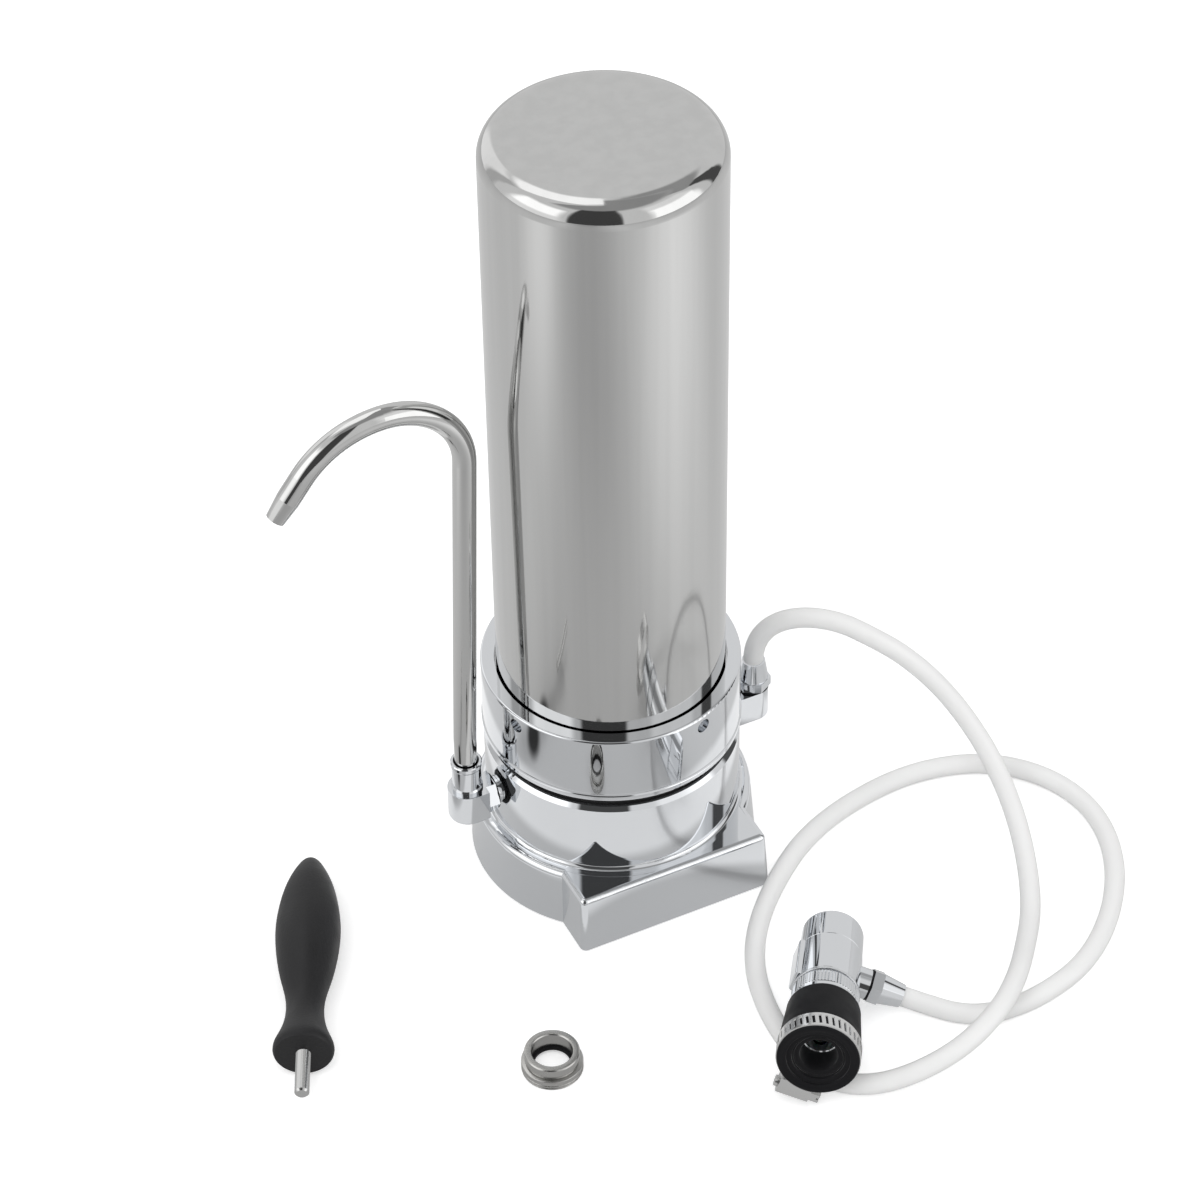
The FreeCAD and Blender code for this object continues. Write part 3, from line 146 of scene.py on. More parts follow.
LAMPS = (                # place in metres, power in watts
    ("key_light", (-0.9, -0.9, 2.0), 17.0),
    ("fill_light", (1.6, -0.4, 1.7), 9.0),
)
LAMP_SIZE = 1.6
LAMP_AIM = (0.0, -0.05, 0.1)

# Shading: angles (degrees) from which edges stay sharp, wear of metal edges
LATHE_SHARP = 40.0
PATTERN_SHARP = 35.0
WORN_BRIGHTER = 1.18
WORN_ROUGHER = 0.12


# Sizes and colours that a user would change

def length(name, description, default):
    return bpy.props.FloatProperty(
        name=name, description=description, default=default, min=0.00001, precision=5,
        unit="LENGTH", subtype="DISTANCE")


def share(name, description, default):
    return bpy.props.FloatProperty(
        name=name, description=description, default=default, min=0.0, max=1.0,
        subtype="FACTOR")


def count(name, description, default):
    return bpy.props.IntProperty(name=name, description=description, default=default, min=1)


def colour(name, description, default):
    return bpy.props.FloatVectorProperty(
        name=name, description=description, default=default, size=3, min=0.0, max=1.0,
        subtype="COLOR")


class FilterSizes(bpy.types.PropertyGroup):
    """Sizes of the pieces that are made here, on top of the frame"""

    hose_diameter: length("Hose diameter", "Outside diameter of the hose", 0.009)
    knurl_ridges: count("Knurl ridges", "Ridges round the knurled ring", 66)
    knurl_depth: length("Knurl depth", "How far the ridges stand out", 0.00035)
    band_slots: count("Band slots", "Slots for the worm screw round the clamp band", 40)
    band_slot_length: length("Slot length", "Length of one slot across the band", 0.0056)
    band_slot_width: length("Slot width", "Width of one slot along the band", 0.0012)
    neck_pitch: length("Neck thread pitch", "Pitch of the thread on the filter head", 0.0025)
    adapter_pitch: length("Adapter thread pitch", "Pitch of the thread on the adapter", 0.00125)
    net_strands: count("Net strands", "Strands each way in the net round the cartridge", 26)
    net_strand: length("Net strand", "Thickness of a strand of the net", 0.0007)
    screen_wires: count("Screen wires", "Wires each way in the aerator screen", 13)
    screen_wire: length("Screen wire", "Thickness of a wire of the screen", 0.0004)
    pad_stud: length("Pad stud", "Diameter of a stud under the rubber pad", 0.004)
    pad_stud_spacing: length("Stud spacing", "Distance from one stud to the next", 0.008)


class FilterColours(bpy.types.PropertyGroup):
    """Colours and wear of the finishes"""

    chrome: colour("Chrome", "Tint of the chrome plating", (0.735, 0.75, 0.77))
    steel: colour("Steel", "Tint of the polished steel", (0.60, 0.60, 0.595))
    satin: colour("Satin steel", "Tint of the turned adapter", (0.50, 0.495, 0.48))
    rubber: colour("Rubber", "Black rubber", (0.008, 0.008, 0.009))
    grip: colour("Grip", "Moulded grip of the wrench", (0.014, 0.014, 0.015))
    hose: colour("Hose", "Milky plastic of the hose", (0.90, 0.90, 0.895))
    white_plastic: colour("White plastic", "Cartridge caps and inner tubes", (0.83, 0.83, 0.81))
    # Black is taken as the filter head's own colour; it also keeps the gap under the lock ring
    # dark, standing in for the shade there
    black_plastic: colour("Black plastic", "Filter head and bottom plate", (0.02, 0.02, 0.021))
    brass: colour("Brass", "Ferrules and olives", (0.72, 0.50, 0.22))
    carbon: colour("Carbon", "Carbon block", (0.022, 0.022, 0.023))
    fleece: colour("Fleece", "Wrap of the cartridge", (0.80, 0.80, 0.78))
    floor: colour("Floor", "Floor of the studio", (0.90, 0.90, 0.90))
    edge_wear: share("Edge wear", "How far the edges are rubbed", 0.35)
    marks: share("Handling marks", "How much hands have dulled the metal", 0.4)


# Node trees

class Tree:
    """Adds and links nodes. A value is a number, a tuple, a socket, or a node's first output."""

    def __init__(self, tree):
        self.tree = tree
        self.column = 0

    def add(self, kind, inputs=None, **settings):
        node = self.tree.nodes.new(kind)
        node.location = (220 * self.column, -180 * (self.column % 3))
        self.column += 1
        for name, value in settings.items():
            setattr(node, name, value)
        for socket, value in (inputs or {}).items():
            self.put(value, node.inputs[socket])
        return node

    def put(self, value, socket):
        if isinstance(value, bpy.types.Node):
            value = value.outputs[0]
        if isinstance(value, bpy.types.NodeSocket):
            self.tree.links.new(value, socket)
        elif socket.type == "RGBA":
            socket.default_value = (*value, 1.0)
        else:
            socket.default_value = value

    def math(self, operation, *values):
        return self.add("ShaderNodeMath", dict(enumerate(values)), operation=operation)

    def times(self, first, second):
        return self.math("MULTIPLY", first, second)

    def ramp(self, value, low, high, to_low=0.0, to_high=1.0):
        return self.add("ShaderNodeMapRange", {
            "Value": value, "From Min": low, "From Max": high, "To Min": to_low,
            "To Max": to_high}, interpolation_type="SMOOTHSTEP")

    def band(self, value, low, high, soft):
        """1 between low and high, with an edge that is soft wide on both sides."""
        rise = self.ramp(value, low - soft / 2, low + soft / 2)
        fall = self.ramp(value, high - soft / 2, high + soft / 2, 1.0, 0.0)
        return self.times(rise, fall)

    def blend(self, amount, first, second):
        """first where amount is 0, second where it is 1."""
        return self.add("ShaderNodeMix", {0: amount, 2: first, 3: second}, data_type="FLOAT")

    def mix(self, amount, first, second):
        """The same for colours."""
        mixed = self.add("ShaderNodeMix", {0: amount}, data_type="RGBA")
        self.put(first, mixed.inputs[6])
        self.put(second, mixed.inputs[7])
        return mixed.outputs[2]

    def measure(self, operation, *vectors):
        """DOT_PRODUCT, DISTANCE or LENGTH of vectors."""
        node = self.add("ShaderNodeVectorMath", dict(enumerate(vectors)), operation=operation)
        return node.outputs["Value"]

    def vector(self, x=0.0, y=0.0, z=0.0):
        return self.add("ShaderNodeCombineXYZ", {"X": x, "Y": y, "Z": z})

    def grey(self, value):
        return self.add("ShaderNodeCombineColor", {"Red": value, "Green": value, "Blue": value})

    def place(self):
        return self.add("ShaderNodeTexCoord").outputs["Object"]

    def noise(self, vector, scale, detail, **more):
        return self.add("ShaderNodeTexNoise", {
            "Vector": vector, "Scale": scale, "Detail": detail, **more})

    def group(self, name, **values):
        """Places a shared group, with its own values."""
        group = bpy.data.node_groups.get(name) or shader_group(name)
        return self.add("ShaderNodeGroup", values, node_tree=group)


def emptied(owner):
    """The tree of a material or world, with no nodes in it."""
    owner.use_nodes = True
    owner.node_tree.nodes.clear()
    return owner.node_tree


def number_inputs(group, inputs):
    for label, default in inputs.items():
        kind = "NodeSocketInt" if isinstance(default, int) else "NodeSocketFloat"
        socket = group.interface.new_socket(label, in_out="INPUT", socket_type=kind)
        socket.default_value = default


def shader_group(name):
    """Makes a shared shader group from its row."""
    build, inputs, outputs = SHADER_GROUPS[name]
    group = bpy.data.node_groups.new(name, "ShaderNodeTree")
    number_inputs(group, inputs)
    for label in outputs:
        group.interface.new_socket(label, in_out="OUTPUT", socket_type="NodeSocketFloat")
    tree = Tree(group)
    values = build(tree, tree.add("NodeGroupInput").outputs)
    tree.add("NodeGroupOutput", dict(zip(outputs, values)))
    return group


def rubbed_edges(tree, given):
    """Mask of the edges that wiping and handling rub."""
    rounded = tree.add("ShaderNodeBevel", {"Radius": given["Width"]}, samples=4)
    true_normal = tree.add("ShaderNodeNewGeometry").outputs["Normal"]
    edge = tree.ramp(tree.measure("DOT_PRODUCT", rounded, true_normal), 0.995, 0.86)
    broken = tree.ramp(tree.noise(tree.place(), 420.0, 3.0), 0.3, 0.7)
    return [tree.times(tree.times(edge, broken), given["Amount"])]


def handling_marks(tree, given):
    """Soft patches where hands and water have dulled a surface."""
    wide = tree.noise(tree.place(), given["Size"], 4.0, Roughness=0.6, Distortion=0.6)
    return [tree.times(tree.ramp(wide, 0.45, 0.72), given["Amount"])]


def moulded_grain(tree, given):
    """Fine moulded grain, with a broader waviness below it."""
    place = tree.place()
    cells = tree.add("ShaderNodeTexVoronoi", {"Vector": place, "Scale": given["Scale"]},
                     feature="SMOOTH_F1")
    wave = tree.noise(place, given["Wave"], 2.0)
    return tree.math("MULTIPLY_ADD", cells, 0.7, wave), tree.ramp(wave, 0.3, 0.7)


def drawn_lines(tree, given):
    """Fine lines of drawing and polishing: across Z as height, along it as streaks."""
    parts = tree.add("ShaderNodeSeparateXYZ", {"Vector": tree.place()}).outputs
    flat = tree.vector(tree.times(parts["X"], 12.0), tree.times(parts["Y"], 12.0),
                       tree.times(parts["Z"], given["Across"]))
    upright = tree.vector(tree.times(parts["X"], given["Along"]),
                          tree.times(parts["Y"], given["Along"]), tree.times(parts["Z"], 3.0))
    return tree.noise(flat, 1.0, 3.0), tree.ramp(tree.noise(upright, 1.0, 3.0), 0.3, 0.7)


SHADER_GROUPS = {
    "Rubbed Edges": (rubbed_edges, {"Width": 0.0006, "Amount": 0.3}, ["Mask"]),
    "Handling Marks": (handling_marks, {"Size": 30.0, "Amount": 0.4}, ["Value"]),
    "Moulded Grain": (moulded_grain, {"Scale": 900.0, "Wave": 60.0}, ["Height", "Tone"]),
    "Drawn Lines": (drawn_lines, {"Across": 2500.0, "Along": 140.0}, ["Height", "Streaks"]),
}


# Finishes

def label_of(name):
    """Name of a finish's material; the frame's own plain materials have the slot names."""
    return name.replace("_", " ").capitalize()


def lighter(tint, amount):
    return tuple(min(1.0, part * amount) for part in tint)


class Surface(Tree):
    """The tree of one finish, round its principled shader."""

    def __init__(self, name, tint, metallic, roughness):
        self.material = bpy.data.materials.new(label_of(name))
        self.material.diffuse_color = (*tint, 1.0)
        super().__init__(emptied(self.material))
        self.shader = self.add("ShaderNodeBsdfPrincipled", {
            "Base Color": tint, "Metallic": metallic, "Roughness": roughness})
        self.add("ShaderNodeOutputMaterial", {"Surface": self.shader})
        self.wear = bpy.context.scene.filter_colours

    def set(self, socket, value):
        self.put(value, self.shader.inputs[socket])

    def bump(self, height, distance, strength=1.0):
        self.set("Normal", self.add("ShaderNodeBump", {
            "Height": height, "Distance": distance, "Strength": strength}))


def metal(name, tint, smooth, dull, wave=0.0, worn=0.0006, marks_size=30.0):
    """Metal whose roughness runs from smooth to dull where hands have been, bright at its edges."""
    made = Surface(name, tint, 1.0, smooth)
    marks = made.group("Handling Marks", Size=marks_size, Amount=made.wear.marks)
    edges = made.group("Rubbed Edges", Width=worn, Amount=made.wear.edge_wear)
    rough = made.ramp(marks, 0.0, 1.0, smooth, dull)
    made.set("Roughness", made.math("MULTIPLY_ADD", edges, WORN_ROUGHER, rough))
    made.set("Base Color", made.mix(edges, tint, lighter(tint, WORN_BRIGHTER)))
    if wave > 0:
        made.bump(made.noise(made.place(), 45.0, 1.0), wave)
    return made


def polished_steel(name, tint, smooth, dull, marks_size):
    """Deep-drawn steel, polished round its axis: soft upright streaks in the shine."""
    made = metal(name, tint, smooth, dull, marks_size=marks_size)
    lines = made.group("Drawn Lines").outputs
    tones = made.mix(lines["Streaks"], lighter(tint, 0.975), lighter(tint, 1.025))
    made.set("Base Color", tones)
    made.bump(lines["Height"], 0.000002, 0.5)
    return made


def satin_steel(name, tint, smooth, dull):
    """Steel as the lathe leaves it: fine lines round the axis."""
    made = metal(name, tint, smooth, dull)
    made.bump(made.group("Drawn Lines", Across=6000.0), 0.00002, 0.6)
    return made


def moulded(name, tint, smooth, dull, depth, scale, wave, tone=1.25, edge=0.0, specular=0.5,
            cloudy=0.0):
    """Moulded rubber or plastic with its grain, slightly uneven in tone and shine."""
    made = Surface(name, tint, 0.0, smooth)
    grain = made.group("Moulded Grain", Scale=scale, Wave=wave).outputs
    made.set("Roughness", made.ramp(grain["Tone"], 0.0, 1.0, smooth, dull))
    base = made.mix(grain["Tone"], tint, lighter(tint, tone))
    if edge > 0:
        rubbed = made.group("Rubbed Edges", Width=0.0005, Amount=made.wear.edge_wear)
        base = made.mix(rubbed, base, (edge, edge, edge))
    made.set("Base Color", base)
    made.set("Specular IOR Level", specular)
    made.set("Subsurface Weight", cloudy)
    made.set("Subsurface Scale", 0.003)
    made.bump(grain["Height"], depth)
    return made


def hose_plastic(name, tint, smooth, dull):
    """Milky hose: light goes some way into it, and its edges are painted a little darker, as
    painted shade.
    """
    made = Surface(name, tint, 0.0, smooth)
    grain = made.group("Moulded Grain", Scale=300.0, Wave=35.0).outputs
    # Painted shade: the hose is painted darker where its surface turns away from view
    rim = made.add("ShaderNodeLayerWeight", {"Blend": 0.32}).outputs["Facing"]
    edge_shaded_tint = made.mix(rim, tint, lighter(tint, 0.80))
    made.set("Base Color", made.mix(made.times(grain["Tone"], 0.25), edge_shaded_tint, lighter(tint, 0.94)))
    made.set("Roughness", made.ramp(grain["Tone"], 0.0, 1.0, smooth, dull))
    made.set("Subsurface Weight", 0.6)
    made.set("Subsurface Scale", 0.006)
    made.set("Subsurface Radius", (1.0, 1.0, 1.0))
    made.bump(grain["Height"], 0.00001)
    return made


def fleece(name, tint, smooth, dull):
    """Spun fleece: crossed fibres."""
    made = Surface(name, tint, 0.0, dull)
    fibres = made.noise(made.place(), 900.0, 6.0, Roughness=0.75, Distortion=2.5)
    made.set("Base Color", made.mix(fibres, lighter(tint, 0.82), tint))
    made.set("Sheen Weight", 0.25)
    made.bump(fibres, 0.00025)
    return made


# Each finish: how it is made, its colour, how much lighter it is, its roughness
# where it is smooth and where it is dull, and what else it needs
FINISHES = {
    "chrome_plate": (metal, "chrome", 1.0, 0.03, 0.09, {"wave": 0.00002}),
    "knurled_chrome": (metal, "chrome", 0.92, 0.14, 0.28, {"worn": 0.0002}),
    "polished_steel": (polished_steel, "steel", 1.0, 0.055, 0.062, {"marks_size": 12.0}),
    "satin_steel": (satin_steel, "satin", 1.0, 0.24, 0.36, {}),
    "clamp_steel": (metal, "steel", 1.12, 0.2, 0.34, {"worn": 0.0002}),
    "screw_steel": (metal, "steel", 0.95, 0.18, 0.32, {"worn": 0.0002, "marks_size": 90.0}),
    "brass_plain": (metal, "brass", 1.0, 0.22, 0.38, {"worn": 0.0002}),
    "black_rubber": (moulded, "rubber", 1.0, 0.42, 0.58, {
        "depth": 0.00002, "scale": 1600.0, "wave": 70.0, "edge": 0.05, "specular": 0.12}),
    "grip_plastic": (moulded, "grip", 1.0, 0.40, 0.52, {
        "depth": 0.00008, "scale": 1100.0, "wave": 50.0, "edge": 0.07, "specular": 0.3}),
    "black_plastic": (moulded, "black_plastic", 1.0, 0.4, 0.52, {
        "depth": 0.00003, "scale": 900.0, "wave": 40.0, "edge": 0.06}),
    "white_plastic": (moulded, "white_plastic", 1.0, 0.34, 0.46, {
        "depth": 0.00001, "scale": 700.0, "wave": 30.0, "tone": 1.02, "cloudy": 0.15}),
    "carbon": (moulded, "carbon", 1.0, 0.75, 0.92, {
        "depth": 0.0002, "scale": 900.0, "wave": 120.0, "tone": 1.6}),
    "hose_plastic": (hose_plastic, "hose", 1.0, 0.30, 0.42, {}),
    "fleece": (fleece, "fleece", 1.0, 0.9, 0.9, {}),
}


def finish(name):
    """The material with this finish, made when it is first asked for."""
    material = bpy.data.materials.get(label_of(name))
    if material is None:
        build, tint, amount, smooth, dull, more = FINISHES[name]
        tint = lighter(getattr(bpy.context.scene.filter_colours, tint), amount)
        material = build(name, tint, smooth, dull, **more).material
    return material


# Meshes

def on_diverter():
    """The diverter's own frame: Z along its axis from the sleeve's mouth, X out of its port."""
    turn, drop, spin = (math.radians(angle)
                        for angle in (DIVERTER_HEADING, DIVERTER_TILT, DIVERTER_ROLL))
    along = Vector((math.cos(turn) * math.cos(drop), math.sin(turn) * math.cos(drop),
                    -math.sin(drop)))
    level = Vector((math.sin(turn), -math.cos(turn), 0.0))
    port = level * math.cos(spin) - level.cross(along) * math.sin(spin)
    matrix = Matrix((port, along.cross(port), along)).transposed().to_4x4()
    matrix.translation = Vector(SLEEVE_MOUTH) * MM
    return matrix


def on_diverter_port():
    """The hose port's own frame: Z out of the boss, starting at its face."""
    face = Matrix.Translation((PORT_FACE * MM, 0, PORT_STATION * MM))
    return on_diverter() @ face @ Matrix.Rotation(math.pi / 2, 4, "Y")


def on_side_port(side):
    """Frame of a port at one side of the drum: Z out of it, starting on the filter axis."""
    return Matrix.Translation((0, 0, PORT_Z * MM)) @ Matrix.Rotation(side * math.pi / 2, 4, "Y")


def new_object(name, data):
    thing = bpy.data.objects.new(name, data)
    bpy.context.scene.collection.objects.link(thing)
    return thing


def new_piece(name, mesh, matrix, sharp):
    """An object with this mesh, placed by matrix and shaded smooth up to an angle."""
    if matrix is not None:
        mesh.transform(matrix)
    mesh.shade_smooth()
    mesh.set_sharp_from_angle(angle=math.radians(sharp))
    return new_object(name, mesh)


def rounded_outline(points, steps=4):
    """A closed outline of (radius, height, rounding) points, each corner replaced by its arc."""
    outline = []
    for n, (r, z, rounding) in enumerate(points):
        here = Vector((r, z))
        if rounding <= 0:
            outline.append(here)
            continue
        before = (Vector(points[n - 1][:2]) - here).normalized()
        after = (Vector(points[(n + 1) % len(points)][:2]) - here).normalized()
        half = before.angle(after) / 2
        reach = rounding / math.tan(half)
        hub = here + (before + after).normalized() * rounding / math.sin(half)
        first = here + before * reach - hub
        last = here + after * reach - hub
        for k in range(steps + 1):
            outline.append(hub + first.slerp(last, k / steps).normalized() * rounding)
    return outline


def lathe(name, points, matrix=None, steps=128):
    """A body turned about Z from a closed outline, in millimetres, placed by matrix."""
    maker = bmesh.new()
    rings = []
    for r, z in rounded_outline(points):
        turns = [math.tau * k / steps for k in range(steps if abs(r) > 1e-6 else 1)]
        rings.append([maker.verts.new((r * MM * math.cos(turn), r * MM * math.sin(turn), z * MM))
                      for turn in turns])
    for low, high in zip(rings, rings[1:] + rings[:1]):
        if len(low) == 1 and len(high) == 1:
            continue
        for k in range(steps):
            corners = [ring[n % len(ring)] for ring, n in
                       ((low, k), (low, k + 1), (high, k + 1), (high, k))]
            maker.faces.new(list(dict.fromkeys(corners)))
    bmesh.ops.remove_doubles(maker, verts=maker.verts, dist=1e-7)
    bmesh.ops.recalc_face_normals(maker, faces=maker.faces)
    mesh = bpy.data.meshes.new(name)
    maker.to_mesh(mesh)
    maker.free()
    return new_piece(name, mesh, matrix, LATHE_SHARP)


def flat_ring(name, outer, inner, low, high, matrix=None, rounding=0.25):
    rounding = min(rounding, (high - low) * 0.4, (outer - inner) * 0.4)
    corners = ((inner, low), (outer, low), (outer, high), (inner, high))
    return lathe(name, [(*corner, rounding) for corner in corners], matrix, steps=96)


def round_ring(name, middle, thick, height):
    """An O-ring: its outline is a circle."""
    turns = [math.tau * k / 20 for k in range(20)]
    circle = [(middle + thick / 2 * math.cos(turn), height + thick / 2 * math.sin(turn), 0)
              for turn in turns]
    return lathe(name, circle, steps=160)


def join(name, pieces):
    """Joins meshes into one piece."""
    whole = bmesh.new()
    for piece in pieces:
        whole.from_mesh(piece.data)
        bpy.data.objects.remove(piece)
    mesh = bpy.data.meshes.new(name)
    whole.to_mesh(mesh)
    whole.free()
    return new_object(name, mesh)


def mount(piece, finish_name, body, *nodes):
    """Gives a finished piece its material, its body and the nodes that it stands for."""
    piece.data.materials.append(finish(finish_name))
    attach(piece, body)
    if nodes:
        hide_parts(*nodes)


def mount_rubber(piece, node, body="base"):
    mount(piece, "black_rubber", body, node)


# Geometry node trees

class PatternTree(Tree):
    """Adds what the geometry trees share."""

    def join(self, *parts):
        node = self.add("GeometryNodeJoinGeometry")
        for part in parts:
            self.put(part, node.inputs[0])
        return node

    def move(self, geometry, by=(0, 0, 0), turn=(0, 0, 0)):
        return self.add("GeometryNodeTransform", {
            "Geometry": geometry, "Translation": by, "Rotation": turn})

    def raised(self, geometry, height):
        return self.move(geometry, self.vector(z=height))

    def box(self, *size):
        return self.add("GeometryNodeMeshCube", {"Size": self.vector(*size)})

    def cylinder(self, sides, radius, depth):
        return self.add("GeometryNodeMeshCylinder", {
            "Vertices": sides, "Radius": radius, "Depth": depth})

    def helix(self, radius, turns, height, steps, thick, sides):
        """A round bar that winds up about Z."""
        curve = self.add("GeometryNodeCurveSpiral", {
            "Resolution": steps, "Rotations": turns, "Start Radius": radius,
            "End Radius": radius, "Height": height})
        profile = self.add("GeometryNodeCurvePrimitiveCircle", {
            "Resolution": sides, "Radius": thick})
        return self.add("GeometryNodeCurveToMesh", {
            "Curve": curve, "Profile Curve": profile, "Fill Caps": True})

    def copies(self, points, shape, turn=(0, 0, 0), scale=(1, 1, 1)):
        return self.add("GeometryNodeInstanceOnPoints", {
            "Points": points, "Instance": shape, "Rotation": turn, "Scale": scale})

    def spread(self, total):
        """Rotation about Z that gives each of total copies its own heading."""
        part = self.math("DIVIDE", self.add("GeometryNodeInputIndex"), total)
        return self.vector(z=self.times(part, math.tau))

    def around(self, radius, total, shape):
        """Copies of a shape round a circle."""
        circle = self.add("GeometryNodeMeshCircle", {"Vertices": total, "Radius": radius})
        return self.copies(circle, shape, self.spread(total))


def knurl(tree, given):
    """Straight ridges round a ring."""
    side = tree.times(given["Depth"], 2.6)
    bar = tree.box(side, side, tree.math("SUBTRACT", given["High"], given["Low"]))
    middle = tree.times(tree.math("ADD", given["High"], given["Low"]), 0.5)
    place = tree.vector(tree.times(given["Depth"], -0.84), 0.0, middle)
    bar = tree.move(bar, place, (0.0, 0.0, math.pi / 4))
    ridges = tree.around(given["Radius"], given["Ridges"], bar)
    return tree.join(ridges, given["Geometry"])


def slotted_band(tree, given):
    """A strip bent into a ring, with slots cut through it for a worm screw."""
    radius, thick, width = given["Radius"], given["Thickness"], given["Width"]
    outer_r = tree.math("ADD", radius, thick)
    outer = tree.cylinder(given["Steps"], outer_r, width)
    inner = tree.cylinder(given["Steps"], radius, tree.times(width, 1.5))
    slot = tree.box(tree.times(thick, 6.0), given["Slot Width"], given["Slot Length"])
    leaning = tree.move(slot, turn=tree.vector(given["Slant"]))
    slots = tree.around(outer_r, given["Slots"], leaning)
    cut = tree.add("GeometryNodeMeshBoolean", {"Mesh 1": outer, "Mesh 2": inner},
                   operation="DIFFERENCE", solver="EXACT")
    tree.put(tree.add("GeometryNodeRealizeInstances", {"Geometry": slots}), cut.inputs["Mesh 2"])
    return tree.raised(cut, tree.math("MULTIPLY_ADD", width, 0.5, given["Low"]))


def screw_thread(tree, given):
    """A helical ridge round a cylinder."""
    rise = tree.times(given["Pitch"], given["Turns"])
    ridge = tree.helix(
        given["Radius"], given["Turns"], rise, given["Steps"], given["Depth"], 6)
    return tree.join(tree.raised(ridge, given["Low"]), given["Geometry"])


def diamond_net(tree, given):
    """A sleeve of strands that cross in diamonds."""
    starts = tree.add("GeometryNodeMeshLine", {
        "Count": given["Strands"], "Offset": (0, 0, 0)})
    steps = tree.math("DIVIDE", given["Steps"], given["Turns"])
    half = tree.times(given["Strand"], 0.5)
    layers = []
    for turns in (given["Turns"], tree.times(given["Turns"], -1.0)):
        strand = tree.helix(given["Radius"], turns, given["Height"], steps, half, 4)
        layers.append(tree.copies(starts, strand, tree.spread(given["Strands"])))
    return tree.raised(tree.join(*layers), given["Low"])


def wire_screen(tree, given):
    """Crossed wires, each cut to the circle of the screen."""
    radius, wire = given["Radius"], given["Wire"]
    reach = tree.times(radius, 0.94)
    line = tree.add("GeometryNodeMeshLine", {
        "Count": given["Wires"], "Start Location": tree.vector(tree.times(reach, -1.0)),
        "Offset": tree.vector(reach)}, mode="END_POINTS")
    rod = tree.move(tree.cylinder(8, tree.times(wire, 0.5), 1.0), turn=(math.pi / 2, 0.0, 0.0))
    x = tree.add("ShaderNodeSeparateXYZ", {"Vector": tree.add("GeometryNodeInputPosition")})
    inside = tree.math("SUBTRACT", tree.times(radius, radius), tree.times(x, x))
    chord = tree.times(tree.math("SQRT", inside), 2.0)
    wires = tree.copies(line, rod, scale=tree.vector(1.0, chord, 1.0))
    crossing = tree.move(wires, tree.vector(z=tree.times(wire, 0.6)), (0.0, 0.0, math.pi / 2))
    return tree.join(tree.raised(tree.join(wires, crossing), given["Low"]), given["Geometry"])


def studs(tree, given):
    """Round studs in rows under a pad."""
    wide = tree.times(given["Reach"], 2.0)
    gaps = tree.math("FLOOR", tree.math("DIVIDE", wide, given["Spacing"]))
    rows = tree.math("ADD", gaps, 1.0)
    grid = tree.add("GeometryNodeMeshGrid", {
        "Size X": wide, "Size Y": wide, "Vertices X": rows, "Vertices Y": rows})
    away = tree.measure("LENGTH", tree.add("GeometryNodeInputPosition"))
    kept = tree.add("GeometryNodeDeleteGeometry", {
        "Geometry": grid, "Selection": tree.math("GREATER_THAN", away, given["Reach"])},
        domain="POINT")
    stud = tree.cylinder(20, tree.times(given["Stud"], 0.5), given["Height"])
    stud = tree.raised(stud, tree.times(given["Height"], 0.5))
    return tree.join(tree.copies(kept, stud), given["Geometry"])


PATTERNS = {
    "Straight Knurl": (knurl, {
        "Radius": 0.0144, "Low": 0.0364, "High": 0.0432, "Depth": 0.00035, "Ridges": 66}),
    "Slotted Band": (slotted_band, {
        "Radius": 0.0171, "Thickness": 0.0007, "Low": 0.0014, "Width": 0.008,
        "Slot Length": 0.0056, "Slot Width": 0.0012, "Slant": 0.16, "Slots": 40, "Steps": 240}),
    "Screw Thread": (screw_thread, {
        "Radius": 0.013, "Low": 0.0007, "Pitch": 0.00125, "Turns": 2.0, "Depth": 0.0002,
        "Steps": 96}),
    "Diamond Net": (diamond_net, {
        "Radius": 0.0331, "Low": 0.1, "Height": 0.232, "Strand": 0.0007, "Turns": 1.6,
        "Strands": 26, "Steps": 64}),
    "Wire Screen": (wire_screen, {
        "Radius": 0.0084, "Wire": 0.0004, "Low": 0.0863, "Wires": 13}),
    "Studs": (studs, {"Reach": 0.041, "Stud": 0.004, "Spacing": 0.008, "Height": 0.0007}),
}


def pattern_group(name):
    """Makes a geometry tree from its row. It ends with real geometry that has its material."""
    build, inputs = PATTERNS[name]
    group = bpy.data.node_groups.new(name, "GeometryNodeTree")
    for way in ("OUTPUT", "INPUT"):
        group.interface.new_socket("Geometry", in_out=way, socket_type="NodeSocketGeometry")
    number_inputs(group, inputs)
    group.interface.new_socket("Finish", in_out="INPUT", socket_type="NodeSocketMaterial")
    tree = PatternTree(group)
    given = tree.add("NodeGroupInput").outputs
    real = tree.add("GeometryNodeRealizeInstances", {"Geometry": build(tree, given)})
    dressed = tree.add("GeometryNodeSetMaterial", {
        "Geometry": real, "Material": given["Finish"]})
    tree.add("NodeGroupOutput", {"Geometry": dressed})
    return group


def grow(name, pattern, values, matrix, start, finish_name, body, *nodes):
    """Runs a geometry tree on an object, keeps its result as a plain mesh and mounts it."""
    group = bpy.data.node_groups.get(pattern) or pattern_group(pattern)
    seed = start or new_object(name + "_seed", bpy.data.meshes.new(name + "_seed"))
    modifier = seed.modifiers.new(pattern, "NODES")
    modifier.node_group = group
    values = dict(values, Finish=finish(finish_name))
    for item in group.interface.items_tree:
        if item.name in values:
            modifier[item.identifier] = values[item.name]
    graph = bpy.context.evaluated_depsgraph_get()
    mesh = bpy.data.meshes.new_from_object(seed.evaluated_get(graph), depsgraph=graph)
    bpy.data.objects.remove(seed)
    if len(mesh.polygons) == 0:
        raise RuntimeError(f"{pattern} made nothing for {name}")
    mesh.name = name
    mesh.materials.clear()
    mount(new_piece(name, mesh, matrix, PATTERN_SHARP), finish_name, body, *nodes)


# Operators: one for each piece, or for a group of like pieces

